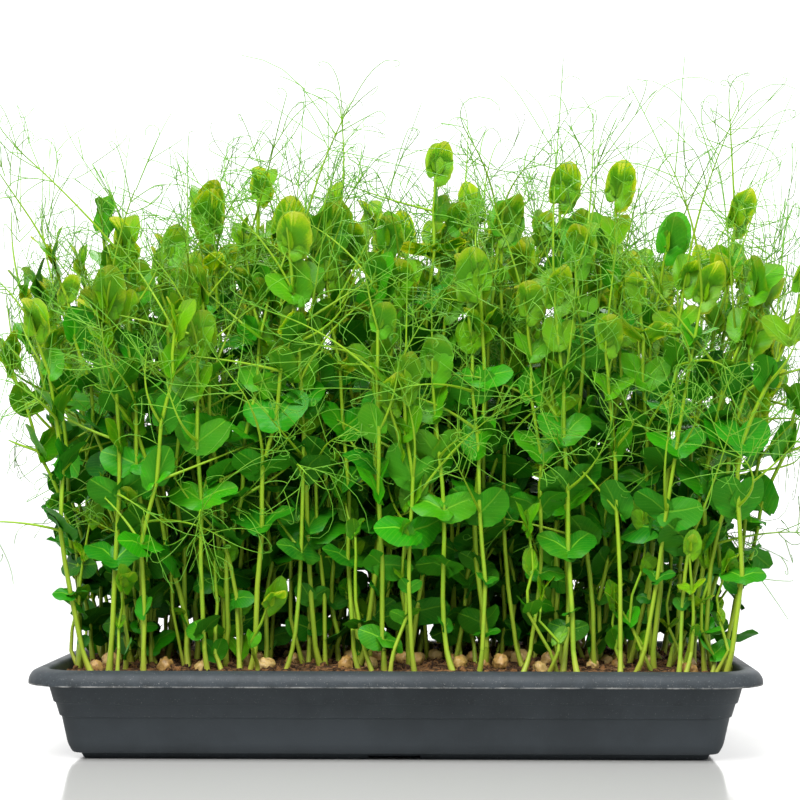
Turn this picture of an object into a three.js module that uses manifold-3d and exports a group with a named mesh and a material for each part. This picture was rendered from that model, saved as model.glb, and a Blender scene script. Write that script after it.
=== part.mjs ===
// A tray of pea shoots: a shallow rimmed tray, its bed of compost, the germinated peas on the
// surface and the shoots that grow out of it. Each shoot has a stem, pairs of broad stipules that
// clasp it, a folded crown, and stalks that end in tendrils. Millimetres, +Z up, with the origin
// at the centre of the tray's flat underside.
import * as THREE from "three";
import { mergeVertices } from "three/addons/utils/BufferGeometryUtils.js";
import Module from "manifold-3d";

const wasm = await Module();
wasm.setup();

// ---------------------------------------------------------------- driving dimensions

const GAP = 0.35; // left between pieces that touch
const TOLERANCE = 0.12; // how far the surface of a joined solid may be simplified

const TRAY = {
  length: 385, // over the rim
  width: 240,
  rimTop: 47.5,
  lipFoot: 39.4, // lower edge of the turned-down lip
  lipThickness: 2.2,
  grooveDepth: 3.8, // of the hollow behind the lip
  cornerRadius: 32, // of the rim's outer edge, seen from above
  plinth: 3.2, // height of the raised base under the shell
  floor: 5.2, // upper side of the floor
  lowStep: 23, // heights of the two ledges on the outside
  highStep: 30.2,
  ledge: 0.9, // how far each ledge stands out
  notchLength: 27, // drain gap in the middle of each long side of the plinth
  notchDepth: 8,
  notchHeight: 1.6,
};

// Insets from the rim's outer edge, on the outside and the inside of the wall.
const OUTSIDE = {
  plinthFoot: 29.5,
  plinth: 27.5,
  wallFoot: 20.8,
  lowStep: 16.6,
  highStep: 13.4,
  wallTop: 10.3,
};
const INSIDE = { crest: 7.5, wallTop: 12.2, wallFoot: 23, topHeight: 45.5, footHeight: 9 };

const SOIL_TOP = 42;

const PEA = { radius: 4.6, height: 0.88, sunk: 0.35 }; // height and sunk are shares of the radius

const SHOOT = {
  stemRadius: 1.5,
  rootDepth: 9,
  stemSides: 5,
  bend: 0.28, // the share of its lean that a stem has halfway up
  nodeSpacing: [23, 27, 31, 35, 39], // from the tip to the highest open pair, and so on down
  bareFoot: 45, // length of stem above the compost that has no pair
};

const STIPULES = {
  length: 19, // of one blade, from the stem to its end
  lobed: 10, // how far its lobed side reaches from its middle line
  plain: 7,
  heel: 2, // how far it reaches past the stem
  thickness: 1,
  raised: 35, // degrees between the blade's middle line and the line across the pair
  tilt: 52, // degrees from level to the plane of the pair
  scales: [0.88, 1, 1.08, 1.1, 1.04, 0.96], // sizes from the top pair down
};

const CROWN = { width: 15, height: 25, thickness: 5, lift: 0.3 };

const TENDRILS = {
  stalkRadius: 0.9,
  radius: 0.6,
  stalkLength: 46,
  length: 44,
  spread: 0.5, // radians, to each side of the stalk
  forks: [0.85, 0.95], // shares of the stalk at which a tendril branches off
};

// How steeply a stalk rises, in radians, and the share of the full length that it has.
const TOP_STALK = { rise: 1.2, size: 0.74 };
const SIDE_STALK = { rise: 0.85, size: 1 };

// Germinated peas on the surface: x, y.
const PEAS = [
  [-146, -25], [-131, -31], [-95, -22], [-51, -36], [-22, -10], [12, -42], [47, -36],
  [67, -44], [88, -30], [127, 11], [153, -20], [-60, 52], [40, 60],
];

// Shoots: name, base x and y, tip x, y and z, and the direction that the top faces in degrees.
const SHOOTS = [
  ["front_1", -168, -88, -187, -104, 222, 250],
  ["front_2", -150, -90, -152, -94, 236, 285],
  ["front_3", -100, -90, -102, -104, 214, 262],
  ["front_4", -51, -90, -50, -86, 270, 275],
  ["front_5", 24, -92, 20, -98, 200, 268],
  ["front_6", -26, -86, -37, -72, 252, 300],
  ["front_7", 76, -90, 70, -92, 232, 245],
  ["front_8", 118, -90, 110, -102, 214, 280],
  ["front_9", 132, -84, 152, -86, 246, 300],
  ["front_10", 158, -86, 192, -98, 236, 330],
  ["inner_1", -84, -48, -76, -42, 300, 240],
  ["inner_2", 16, -34, 21, -42, 312, 300],
  ["inner_3", 48, -58, 56, -64, 276, 255],
  ["inner_4", 86, -16, 90, -20, 300, 280],
  ["inner_5", 112, -46, 119, -52, 297, 265],
  ["inner_6", 154, -44, 183, -56, 282, 290],
  ["inner_7", -146, -42, -160, -54, 282, 230],
  ["inner_8", -44, -54, -38, -58, 274, 280],
  ["inner_9", -98, 12, -106, 2, 292, 130],
  ["inner_10", 42, 22, 44, 34, 296, 60],
  ["left_1", -160, 34, -200, 44, 246, 190],
  ["right_1", 164, 18, 204, 26, 240, 350],
  ["back_1", -124, 86, -132, 108, 264, 110],
  ["back_2", -66, 88, -68, 112, 282, 80],
  ["back_3", -4, 88, 2, 110, 288, 95],
  ["back_4", 60, 88, 68, 108, 276, 70],
  ["back_5", 118, 86, 128, 106, 280, 100],
  ["back_6", 156, 72, 182, 88, 268, 45],
].map(([name, baseX, baseY, tipX, tipY, tipZ, degrees]) => ({
  name,
  base: new THREE.Vector3(baseX, baseY, SOIL_TOP),
  tip: new THREE.Vector3(tipX, tipY, tipZ),
  facing: THREE.MathUtils.degToRad(degrees),
}));

// Shoots whose stem and pairs of stipules are separate nodes. On the rest they are one piece.
const TAKEN_APART = ["front_1", "front_2", "front_3", "front_4"];

// ---------------------------------------------------------------- materials

const matte = (color, roughness) => new THREE.MeshStandardMaterial({ color, roughness, metalness: 0 });

const materials = {
  tray: matte(0x42484b, 0.55),
  soil: matte(0x3a2418, 0.95),
  pea: matte(0xb98a4e, 0.7),
  stem: matte(0x9cc33a, 0.5),
  leaf: matte(0x3f9a1d, 0.5),
};

// ---------------------------------------------------------------- solids and meshes

// A closed geometry as a solid that can be joined and cut.
function solidOf(geometry) {
  const bare = new THREE.BufferGeometry().setAttribute("position", geometry.getAttribute("position"));
  if (geometry.index) bare.setIndex(geometry.index);
  const merged = mergeVertices(bare, 1e-4);
  return new wasm.Manifold(
    new wasm.Mesh({
      numProp: 3,
      vertProperties: merged.attributes.position.array,
      triVerts: new Uint32Array(merged.index.array),
    }),
  );
}

const joined = (geometries) => wasm.Manifold.union(geometries.map(solidOf));

const simplified = (solid) => solid.asOriginal().simplify(TOLERANCE);

function meshOf(name, solid, material) {
  const made = solid.getMesh();
  const geometry = new THREE.BufferGeometry()
    .setAttribute("position", new THREE.BufferAttribute(made.vertProperties, made.numProp))
    .setIndex(new THREE.BufferAttribute(made.triVerts, 1));
  geometry.computeVertexNormals();
  const mesh = new THREE.Mesh(geometry, material);
  mesh.name = name;
  return mesh;
}

// A rounded rectangle, this far inside the rim's outer edge. All levels share their corner centres.
function outline(inset) {
  const x = TRAY.length / 2 - TRAY.cornerRadius;
  const y = TRAY.width / 2 - TRAY.cornerRadius;
  const radius = TRAY.cornerRadius - inset;
  const quarter = Math.PI / 2;
  const arcSteps = 2;
  return new THREE.Shape()
    .absarc(x, -y, radius, -quarter, 0)
    .absarc(x, y, radius, 0, quarter)
    .absarc(-x, y, radius, quarter, 2 * quarter)
    .absarc(-x, -y, radius, 2 * quarter, 3 * quarter)
    .getPoints(arcSteps);
}

// Joins the outlines of a profile of (inset, height) points, and closes both ends with a fan.
function loft(profile) {
  const rings = profile.map((p) => outline(p.x).map((q) => new THREE.Vector3(q.x, q.y, p.y)));
  const ends = [rings[0], rings[rings.length - 1]].map((ring) => new THREE.Vector3(0, 0, ring[0].z));
  const points = [...rings.flat(), ...ends];
  const [first, last] = [points.length - 2, points.length - 1];
  const around = rings[0].length;
  const top = (rings.length - 1) * around;
  const faces = [];
  for (let k = 0; k < around; k++) {
    const next = (k + 1) % around;
    faces.push(first, next, k, last, top + k, top + next);
    for (let low = 0; low < top; low += around) {
      const high = low + around;
      faces.push(low + k, low + next, high + next, low + k, high + next, high + k);
    }
  }
  return new THREE.BufferGeometry().setFromPoints(points).setIndex(faces);
}

// ---------------------------------------------------------------- tray and compost

// The tray's section: up the stepped outside, over the rolled rim and down the inside.
function traySection() {
  const { plinth, lipFoot, lipThickness, rimTop, floor, lowStep, highStep, ledge } = TRAY;
  const grooveTop = lipFoot + TRAY.grooveDepth;
  const curveSteps = 3;
  return new THREE.Path()
    .moveTo(OUTSIDE.plinthFoot, 0)
    .lineTo(OUTSIDE.plinth, plinth)
    .lineTo(OUTSIDE.wallFoot + 3.4, plinth + 0.2)
    .quadraticCurveTo(OUTSIDE.wallFoot + 0.6, plinth + 0.8, OUTSIDE.wallFoot, plinth + 5)
    .lineTo(OUTSIDE.lowStep + ledge, lowStep - 0.8)
    .quadraticCurveTo(OUTSIDE.lowStep, lowStep - 0.8, OUTSIDE.lowStep - 0.2, lowStep + 1)
    .lineTo(OUTSIDE.highStep + ledge, highStep - 0.8)
    .quadraticCurveTo(OUTSIDE.highStep, highStep - 0.8, OUTSIDE.highStep - 0.6, highStep + 1)
    .lineTo(OUTSIDE.wallTop, lipFoot)
    .lineTo(OUTSIDE.wallTop - 0.3, grooveTop)
    .lineTo(lipThickness + 0.4, grooveTop - 0.6)
    .lineTo(lipThickness, lipFoot + 0.2)
    .lineTo(0.5, lipFoot)
    .lineTo(0, lipFoot + 0.8)
    .quadraticCurveTo(0.2, rimTop - 0.9, INSIDE.crest, rimTop)
    .quadraticCurveTo(INSIDE.wallTop - 0.6, rimTop, INSIDE.wallTop, INSIDE.topHeight)
    .lineTo(INSIDE.wallFoot, INSIDE.footHeight)
    .quadraticCurveTo(INSIDE.wallFoot + 0.8, floor, INSIDE.wallFoot + 4.5, floor)
    .getPoints(curveSteps);
}

function tray() {
  const foot = TRAY.width / 2 - OUTSIDE.plinthFoot;
  const notch = new THREE.BoxGeometry(TRAY.notchLength, 2 * TRAY.notchDepth, 2 * TRAY.notchHeight);
  const notches = [-1, 1].map((side) => notch.clone().translate(0, side * foot, 0));
  return solidOf(loft(traySection())).subtract(joined(notches));
}

// Fills the tray, a gap clear of its wall and floor, up to the surface, round the peas and roots.
function compost(hollows) {
  const slope = (INSIDE.wallFoot - INSIDE.wallTop) / (INSIDE.topHeight - INSIDE.footHeight);
  const insetAtTop = INSIDE.wallFoot - slope * (SOIL_TOP - INSIDE.footHeight);
  const bed = loft([
    new THREE.Vector2(INSIDE.wallFoot + 4.7, TRAY.floor + GAP),
    new THREE.Vector2(INSIDE.wallFoot + 0.9, TRAY.floor + 3),
    new THREE.Vector2(insetAtTop + GAP, SOIL_TOP),
  ]);
  return simplified(solidOf(bed).subtract(wasm.Manifold.union(hollows)));
}

const pea = ([x, y], extra = 0) =>
  solidOf(
    new THREE.IcosahedronGeometry(PEA.radius + extra, 1)
      .scale(1, 1, PEA.height)
      .rotateZ(x + y)
      .translate(x, y, SOIL_TOP + PEA.sunk * PEA.radius),
  );

// ---------------------------------------------------------------- the pieces of a shoot

// The direction with this azimuth and this climb above level, both in radians.
const heading = (azimuth, climb) =>
  new THREE.Vector3(
    Math.cos(azimuth) * Math.cos(climb),
    Math.sin(azimuth) * Math.cos(climb),
    Math.sin(climb),
  );

function tube(curve, radius, sides, steps) {
  const corners = Array.from({ length: sides }, (_, k) => heading((2 * Math.PI * k) / sides, 0));
  const section = new THREE.Shape(corners.map((c) => new THREE.Vector2(radius * c.x, radius * c.y)));
  return new THREE.ExtrudeGeometry(section, { steps, extrudePath: curve, bevelEnabled: false });
}

// Upright at the compost, then leaning over towards the tip.
function stemCurve({ base, tip }) {
  const middle = base.clone().lerp(tip, SHOOT.bend).setZ((base.z + tip.z) / 2);
  return new THREE.QuadraticBezierCurve3(base, middle, tip);
}

// The stem with its rooted end, which stands in a hole of the compost.
function stem(curve, extra = 0) {
  const root = curve.v0.clone().setZ(SOIL_TOP - SHOOT.rootDepth - extra);
  const path = new THREE.CatmullRomCurve3([root, ...curve.getPoints(5)]);
  return solidOf(tube(path, SHOOT.stemRadius + extra, SHOOT.stemSides, 7));
}

// A pair of stipules as one flat butterfly, clasping the stem at a point and facing out from it.
function stipules(point, azimuth, scale, extra = 0) {
  const [length, lobed, plain, heel] = ["length", "lobed", "plain", "heel"].map(
    (key) => STIPULES[key] * scale + extra,
  );
  const thickness = STIPULES.thickness + 2 * extra;
  const outline = new THREE.Shape()
    .moveTo(-heel, 0)
    .bezierCurveTo(0.1 * length, -1.4 * lobed, 0.98 * length, -1.2 * lobed, length, 0)
    .bezierCurveTo(0.98 * length, 1.2 * plain, 0.3 * length, 1.4 * plain, -heel, 0);
  const blade = new THREE.ExtrudeGeometry(outline, {
    depth: thickness,
    bevelEnabled: false,
    curveSegments: 4,
  });
  blade.translate(0, 0, -thickness / 2).rotateZ(THREE.MathUtils.degToRad(STIPULES.raised));
  const out = heading(azimuth, THREE.MathUtils.degToRad(STIPULES.tilt));
  const across = heading(azimuth + Math.PI / 2, 0);
  const place = new THREE.Matrix4().makeBasis(across, out, across.clone().cross(out)).setPosition(point);
  return joined([blade, blade.clone().rotateY(Math.PI)].map((half) => half.applyMatrix4(place)));
}

// The youngest pair, folded face to face and upright over the tip.
const crown = ({ tip, facing }) =>
  solidOf(
    new THREE.SphereGeometry(0.5, 6, 4)
      .rotateX(Math.PI / 2)
      .scale(CROWN.width, CROWN.thickness, CROWN.height)
      .rotateZ(facing + Math.PI / 2)
      .translate(tip.x, tip.y, tip.z + CROWN.lift * CROWN.height),
  );

// A stalk with a tendril to each side of its end.
function stalk(point, azimuth, { rise, size }, extra = 0) {
  const end = point.clone().addScaledVector(heading(azimuth, rise), size * TENDRILS.stalkLength);
  const reach = size * TENDRILS.length + extra;
  const tendrils = TENDRILS.forks.map((share, k) => {
    const turn = (k ? 1 : -1) * TENDRILS.spread;
    const start = point.clone().lerp(end, share);
    const middle = start.clone().addScaledVector(heading(azimuth + 0.6 * turn, rise + 0.25), 0.6 * reach);
    const finish = start.clone().addScaledVector(heading(azimuth + turn, rise - 0.15), reach);
    const path = new THREE.QuadraticBezierCurve3(start, middle, finish);
    return tube(path, TENDRILS.radius + extra, 3, 2);
  });
  return joined([tube(new THREE.LineCurve3(point, end), TENDRILS.stalkRadius + extra, 3, 1), ...tendrils]);
}

// ---------------------------------------------------------------- growing without touching

// Everything that later growth has to keep clear of.
const grown = [];

const keep = (owner, solid) => grown.push({ owner, solid, box: solid.boundingBox() });

const boxesMeet = (a, b) => [0, 1, 2].every((k) => a.min[k] < b.max[k] && b.min[k] < a.max[k]);

function isClear(owner, solid) {
  const box = solid.boundingBox();
  const near = grown.filter((other) => other.owner !== owner && boxesMeet(other.box, box));
  return near.every((other) => other.solid.intersect(solid).isEmpty());
}

// Turns a piece until it is clear of the other shoots. Gives null where there is no room for it.
function growPiece(owner, azimuth, make) {
  const turns = [0, 0.4, -0.4, 0.8, -0.8, 1.3, -1.3, 1.9, -1.9];
  const turn = turns.find((t) => isClear(owner, make(azimuth + t, GAP)));
  if (turn === undefined) return null;
  const piece = make(azimuth + turn, 0);
  keep(owner, piece);
  return piece;
}

// The points of a stem where its open pairs sit, from the top down.
function nodePoints(curve) {
  const length = curve.getLength();
  let below = 0;
  return SHOOT.nodeSpacing
    .map((step) => (below += step))
    .filter((distance) => distance < length - SHOOT.bareFoot)
    .map((distance) => curve.getPointAt(1 - distance / length));
}

// The stem with its crown, stalks and tendrils, and the open pairs of stipules on it.
function growShoot(shoot) {
  const { name, facing } = shoot;
  const curve = stemCurve(shoot);
  const points = nodePoints(curve);
  const sides = points.map((_, k) => facing + (k % 2 ? 0 : Math.PI));
  const above = points[0].clone().lerp(shoot.tip, 0.1);
  const stalks = [
    growPiece(name, facing, (azimuth, gap) => stalk(shoot.tip, azimuth, TOP_STALK, gap)),
    growPiece(name, sides[0], (azimuth, gap) => stalk(above, azimuth, SIDE_STALK, gap)),
  ];
  const pairs = points.map((point, k) =>
    growPiece(name, sides[k], (azimuth, gap) => stipules(point, azimuth, STIPULES.scales[k], gap)),
  );
  return {
    name,
    haulm: wasm.Manifold.union([stem(curve), crown(shoot), ...stalks.filter(Boolean)]),
    pairs: pairs.filter(Boolean),
    clasped: stem(curve, GAP),
  };
}

// One mesh for the whole shoot, or one for its stem and one for each pair, cut clear of the stem.
function shootMeshes({ name, haulm, pairs, clasped }) {
  if (!TAKEN_APART.includes(name)) {
    const whole = wasm.Manifold.union([haulm, ...pairs]);
    return [meshOf(`shoot_${name}`, simplified(whole), materials.leaf)];
  }
  const leaves = pairs.map((pair, k) =>
    meshOf(`shoot_${name}_stipules_${k + 1}`, simplified(pair.subtract(clasped)), materials.leaf),
  );
  return [meshOf(`shoot_${name}_stem`, simplified(haulm), materials.stem), ...leaves];
}

// ---------------------------------------------------------------- the object

const shell = tray();
keep("tray", shell);
SHOOTS.forEach((shoot) => {
  keep(shoot.name, stem(stemCurve(shoot), GAP));
  keep(shoot.name, crown(shoot));
});

const peaHollows = PEAS.map((place) => pea(place, GAP));
const rootHollows = SHOOTS.map((shoot) => stem(stemCurve(shoot), 1.4 * GAP));

const object = new THREE.Group();
object.add(
  meshOf("tray", shell, materials.tray),
  meshOf("compost_bed", compost([...peaHollows, ...rootHollows]), materials.soil),
  ...PEAS.map((place, k) => meshOf(`pea_${k + 1}`, pea(place), materials.pea)),
  ...SHOOTS.map(growShoot).flatMap(shootMeshes),
);

export default object;
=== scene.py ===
"""The looks of a tray of pea shoots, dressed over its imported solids.

The tray, the compost, the germinated peas and the whole stand of shoots are modelled here at their
real size, in metres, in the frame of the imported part. Everything random has a fixed seed.
"""

import itertools
import logging
import math
import random
from dataclasses import dataclass, field
from enum import Enum
from typing import ClassVar, Iterable, Sequence

import bmesh
import bpy
import numpy as np
from mathutils import Euler, Matrix, Quaternion, Vector, noise


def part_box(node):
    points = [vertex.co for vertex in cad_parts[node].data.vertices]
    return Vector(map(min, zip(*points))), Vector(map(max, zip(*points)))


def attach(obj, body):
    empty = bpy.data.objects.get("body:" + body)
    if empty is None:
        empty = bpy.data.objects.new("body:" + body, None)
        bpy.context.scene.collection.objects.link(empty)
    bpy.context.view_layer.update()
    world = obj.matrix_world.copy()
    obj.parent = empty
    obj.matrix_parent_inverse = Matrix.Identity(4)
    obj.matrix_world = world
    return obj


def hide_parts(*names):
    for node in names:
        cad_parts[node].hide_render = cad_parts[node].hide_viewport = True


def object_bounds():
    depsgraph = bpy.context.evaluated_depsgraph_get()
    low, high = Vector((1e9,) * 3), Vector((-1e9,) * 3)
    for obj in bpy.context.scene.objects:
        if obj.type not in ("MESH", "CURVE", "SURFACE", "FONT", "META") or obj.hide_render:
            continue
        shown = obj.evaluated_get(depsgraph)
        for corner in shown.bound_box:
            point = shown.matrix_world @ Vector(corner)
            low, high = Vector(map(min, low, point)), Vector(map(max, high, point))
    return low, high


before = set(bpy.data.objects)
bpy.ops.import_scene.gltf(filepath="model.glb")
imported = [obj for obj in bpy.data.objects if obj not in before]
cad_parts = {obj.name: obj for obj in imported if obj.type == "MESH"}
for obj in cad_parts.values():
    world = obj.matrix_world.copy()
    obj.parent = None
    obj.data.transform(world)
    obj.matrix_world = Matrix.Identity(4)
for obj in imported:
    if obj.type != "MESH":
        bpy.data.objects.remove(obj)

CAD_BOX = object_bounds()
LOG = logging.getLogger("pea_shoots")
ROOT = "root"
MM = 0.001
UP = Vector((0, 0, 1))

Colour = tuple[float, float, float]
Chance = random.Random
Collection = bpy.types.Collection
Material = bpy.types.Material
Mesh = bpy.types.Mesh
Object = bpy.types.Object
Socket = bpy.types.NodeSocket
Path = list[Vector]
Range = tuple[float, float]
Grid = list[list[int]]
Inputs = dict[str | int, object]


# ---------------------------------------------------------------- small mathematics


def heading(azimuth: float, climb: float) -> Vector:
    """The direction with an azimuth and a climb above level.

    Args:
        azimuth: the turn from +X towards +Y, in radians.
        climb: the angle above level, in radians.

    Returns:
        A vector of length one.
    """
    level = math.cos(climb)
    return Vector((math.cos(azimuth) * level, math.sin(azimuth) * level, math.sin(climb)))


def bezier(start: Vector, middle: Vector, end: Vector, share: float) -> Vector:
    """A point of the curve that leaves start towards middle and arrives at end.

    Args:
        start: the first point.
        middle: the point that bends the curve.
        end: the last point.
        share: how far along the curve, from 0 to 1.

    Returns:
        The point.
    """
    return start.lerp(middle, share).lerp(middle.lerp(end, share), share)


def turned(across: Vector, along: Vector) -> Quaternion:
    """The rotation that takes +X near across and +Y to along.

    Args:
        across: where +X should point, roughly.
        along: where +Y has to point.

    Returns:
        The rotation.
    """
    y = along.normalized()
    z = across.cross(y).normalized()
    x = y.cross(z)
    return Matrix((x, y, z)).transposed().to_quaternion()


# ---------------------------------------------------------------- finishes


@dataclass(frozen=True)
class Mottle:
    """A pattern of noise, with the values that count as none of it and as all of it."""

    scale: float
    detail: float
    roughness: float
    low: float
    high: float


class Shader:
    """A material's node tree, written one short line for each node."""

    def __init__(self, name: str) -> None:
        """Starts a material with a Principled shader.

        Args:
            name: the material's name.
        """
        self.material = bpy.data.materials.new(name)
        self.material.use_nodes = True
        self.tree = self.material.node_tree
        self.surface = self.tree.nodes["Principled BSDF"]

    def node(self, kind: str, inputs: Inputs | None = None, **settings: object) -> bpy.types.Node:
        """Adds a node.

        Args:
            kind: the node's class, without its ShaderNode prefix.
            inputs: a socket or a value for each named input.
            settings: the node's own properties.

        Returns:
            The node.
        """
        made = self.tree.nodes.new("ShaderNode" + kind)
        for key, value in settings.items():
            setattr(made, key, value)
        for key, value in (inputs or {}).items():
            if isinstance(value, Socket):
                self.tree.links.new(value, made.inputs[key])
            else:
                made.inputs[key].default_value = value
        return made

    def attribute(self, name: str) -> Socket:
        """The value of a named attribute."""
        return self.node("Attribute", attribute_name=name).outputs["Fac"]

    def math(self, operation: str, a: object, b: object = 0.0, c: object = 0.0) -> Socket:
        """A sum, product or other operation on numbers or sockets."""
        return self.node("Math", {0: a, 1: b, 2: c}, operation=operation).outputs[0]

    def times(self, a: object, b: object) -> Socket:
        """The product of two numbers or sockets."""
        return self.math("MULTIPLY", a, b)

    def between(self, share: Socket, limits: Range) -> Socket:
        """The number that lies a share of the way from the first limit to the second."""
        return self.math("MULTIPLY_ADD", share, limits[1] - limits[0], limits[0])

    def noise(self, scale: float, detail: float, roughness: float = 0.5) -> Socket:
        """Noise on Object coordinates.

        Args:
            scale: about how many of its broadest features there are along a metre.
            detail: the number of finer layers.
            roughness: how strong the finer layers are.

        Returns:
            The noise, mostly between 0.3 and 0.7.
        """
        place = self.node("TexCoord").outputs["Object"]
        inputs = {"Vector": place, "Scale": scale, "Detail": detail, "Roughness": roughness}
        return self.node("TexNoise", inputs).outputs["Fac"]

    def ramp(self, value: Socket, low: float, high: float) -> Socket:
        """Stretches a value so that low gives 0 and high gives 1."""
        inputs = {"Value": value, "From Min": low, "From Max": high}
        return self.node("MapRange", inputs, interpolation_type="SMOOTHSTEP").outputs["Result"]

    def mottle(self, pattern: Mottle) -> Socket:
        """The noise of a pattern, stretched between its limits."""
        value = self.noise(pattern.scale, pattern.detail, pattern.roughness)
        return self.ramp(value, pattern.low, pattern.high)

    def blend(self, share: object, a: object, b: object) -> Socket:
        """Mixes two colours.

        Args:
            share: 0 for the first colour and 1 for the second.
            a: a colour, or a socket that carries one.
            b: the other colour.

        Returns:
            The mixed colour.
        """
        made = self.node("Mix", data_type="RGBA")
        for key, value in ((0, share), (6, a), (7, b)):
            if isinstance(value, Socket):
                self.tree.links.new(value, made.inputs[key])
            else:
                made.inputs[key].default_value = (*value, 1.0) if key else value
        return made.outputs[2]

    def bump(self, height: Socket, distance: float, strength: float = 1.0) -> None:
        """Raises the surface by a height from 0 to 1, times a distance in metres."""
        made = self.node("Bump", {"Height": height, "Distance": distance, "Strength": strength})
        self.tree.links.new(made.outputs["Normal"], self.surface.inputs["Normal"])

    def set(self, **values: object) -> None:
        """Sets inputs of the Principled shader.

        Args:
            values: a value or a socket for each input, by its name with _ for spaces.
        """
        for key, value in values.items():
            target = self.surface.inputs[key.replace("_", " ")]
            if isinstance(value, Socket):
                self.tree.links.new(value, target)
            elif isinstance(value, tuple) and target.type == "RGBA":
                target.default_value = (*value, 1.0)
            else:
                target.default_value = value


class Finish:
    """A finish, which has a name and can be made a material."""

    name: str

    def paint(self, shader: Shader) -> None:
        """Gives the shader its colours, gloss and relief. Each finish has its own way."""
        raise NotImplementedError(self.name)

    def material(self) -> Material:
        """Builds the material.

        Returns:
            The material.
        """
        shader = Shader(self.name)
        self.paint(shader)
        return shader.material


@dataclass(frozen=True)
class TrayPlastic(Finish):
    """Charcoal moulded plastic with a fine grain, scuffed where its "wear" attribute is high and
    darker there, partly as painted shade.
    """

    name: ClassVar[str] = "tray_plastic"
    colour: Colour = (0.039, 0.0465, 0.053)
    # The darker tone: random clouds, abraded patches, and painted shade on the lit rim and the
    # ledges.
    worn_and_shaded: Colour = (0.017, 0.020, 0.021)
    scuff: Colour = (0.30, 0.30, 0.29)
    clouds: Mottle = Mottle(24, 5, 0.6, 0.38, 0.68)
    cloud_share: float = 0.35
    rubbing_and_shading: Mottle = Mottle(160, 6, 0.7, 0.40, 0.72)
    rubbed_and_shaded_share: float = 0.9
    specks: Mottle = Mottle(1500, 2, 0.5, 0.66, 0.72)
    speck_shares: Range = (0.04, 0.79)
    chafing: Mottle = Mottle(75, 5, 0.7, 0.38, 0.64)
    chafed_from: float = 0.78
    chafed_share: float = 0.75
    fine_grain: float = 2600
    coarse_grain: float = 420
    grain_depth: float = 0.06 * MM
    roughness: Range = (0.46, 0.60)
    specular: float = 0.13

    def paint(self, shader: Shader) -> None:
        """Gives the shader its colours, gloss and relief.

        Args:
            shader: the shader.
        """
        wear = shader.attribute("wear")
        clouds = shader.mottle(self.clouds)
        # Darker where the "wear" attribute is high: partly abraded plastic, partly painted shade on
        # the rim and ledge corners.
        rubbed_and_shaded = shader.times(wear, shader.mottle(self.rubbing_and_shading))
        base = shader.blend(shader.times(clouds, self.cloud_share), self.colour, self.worn_and_shaded)
        base = shader.blend(shader.times(rubbed_and_shaded, self.rubbed_and_shaded_share), base, self.worn_and_shaded)
        specks = shader.times(shader.mottle(self.specks), shader.between(wear, self.speck_shares))
        chafed = shader.times(shader.ramp(wear, self.chafed_from, 1.0), shader.mottle(self.chafing))
        scuffs = shader.math("MAXIMUM", specks, shader.times(chafed, self.chafed_share))
        shader.set(
            Base_Color=shader.blend(scuffs, base, self.scuff),
            Roughness=shader.between(clouds, self.roughness),
            Specular_IOR_Level=self.specular,
        )
        coarse = shader.times(shader.noise(self.coarse_grain, 4), 0.8)
        grain = shader.math("ADD", shader.noise(self.fine_grain, 2), coarse)
        shader.bump(grain, self.grain_depth, 0.5)


@dataclass(frozen=True)
class Compost(Finish):
    """Moist dark brown compost, with paler fibres by their "age" attribute, and painted shade in
    its hollows.
    """

    name: ClassVar[str] = "compost"
    # Near black: partly the colour of wet compost, partly painted shade in the hollows.
    dark: Colour = (0.012, 0.005, 0.002)
    brown: Colour = (0.205, 0.098, 0.033)
    straw: Colour = (0.34, 0.19, 0.085)
    clods_and_hollow_shade: Mottle = Mottle(330, 5, 0.6, 0.44, 0.60)
    grains: Mottle = Mottle(1300, 3, 0.6, 0.44, 0.62)
    grain_share: float = 0.35
    relief: float = 0.5 * MM
    roughness: float = 0.93
    specular: float = 0.25

    def paint(self, shader: Shader) -> None:
        """Gives the shader its colours, gloss and relief.

        Args:
            shader: the shader.
        """
        clods_and_hollow_shade, grains = shader.mottle(self.clods_and_hollow_shade), shader.mottle(self.grains)
        # Dark where the clod pattern is low, which the bump also sinks: partly wet compost, partly
        # painted shade in the hollows.
        base = shader.blend(clods_and_hollow_shade, self.dark, self.brown)
        base = shader.blend(shader.times(grains, self.grain_share), base, self.brown)
        shader.set(
            Base_Color=shader.blend(shader.attribute("age"), base, self.straw),
            Roughness=self.roughness,
            Specular_IOR_Level=self.specular,
        )
        shader.bump(shader.math("ADD", grains, clods_and_hollow_shade), self.relief, 0.8)


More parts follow.
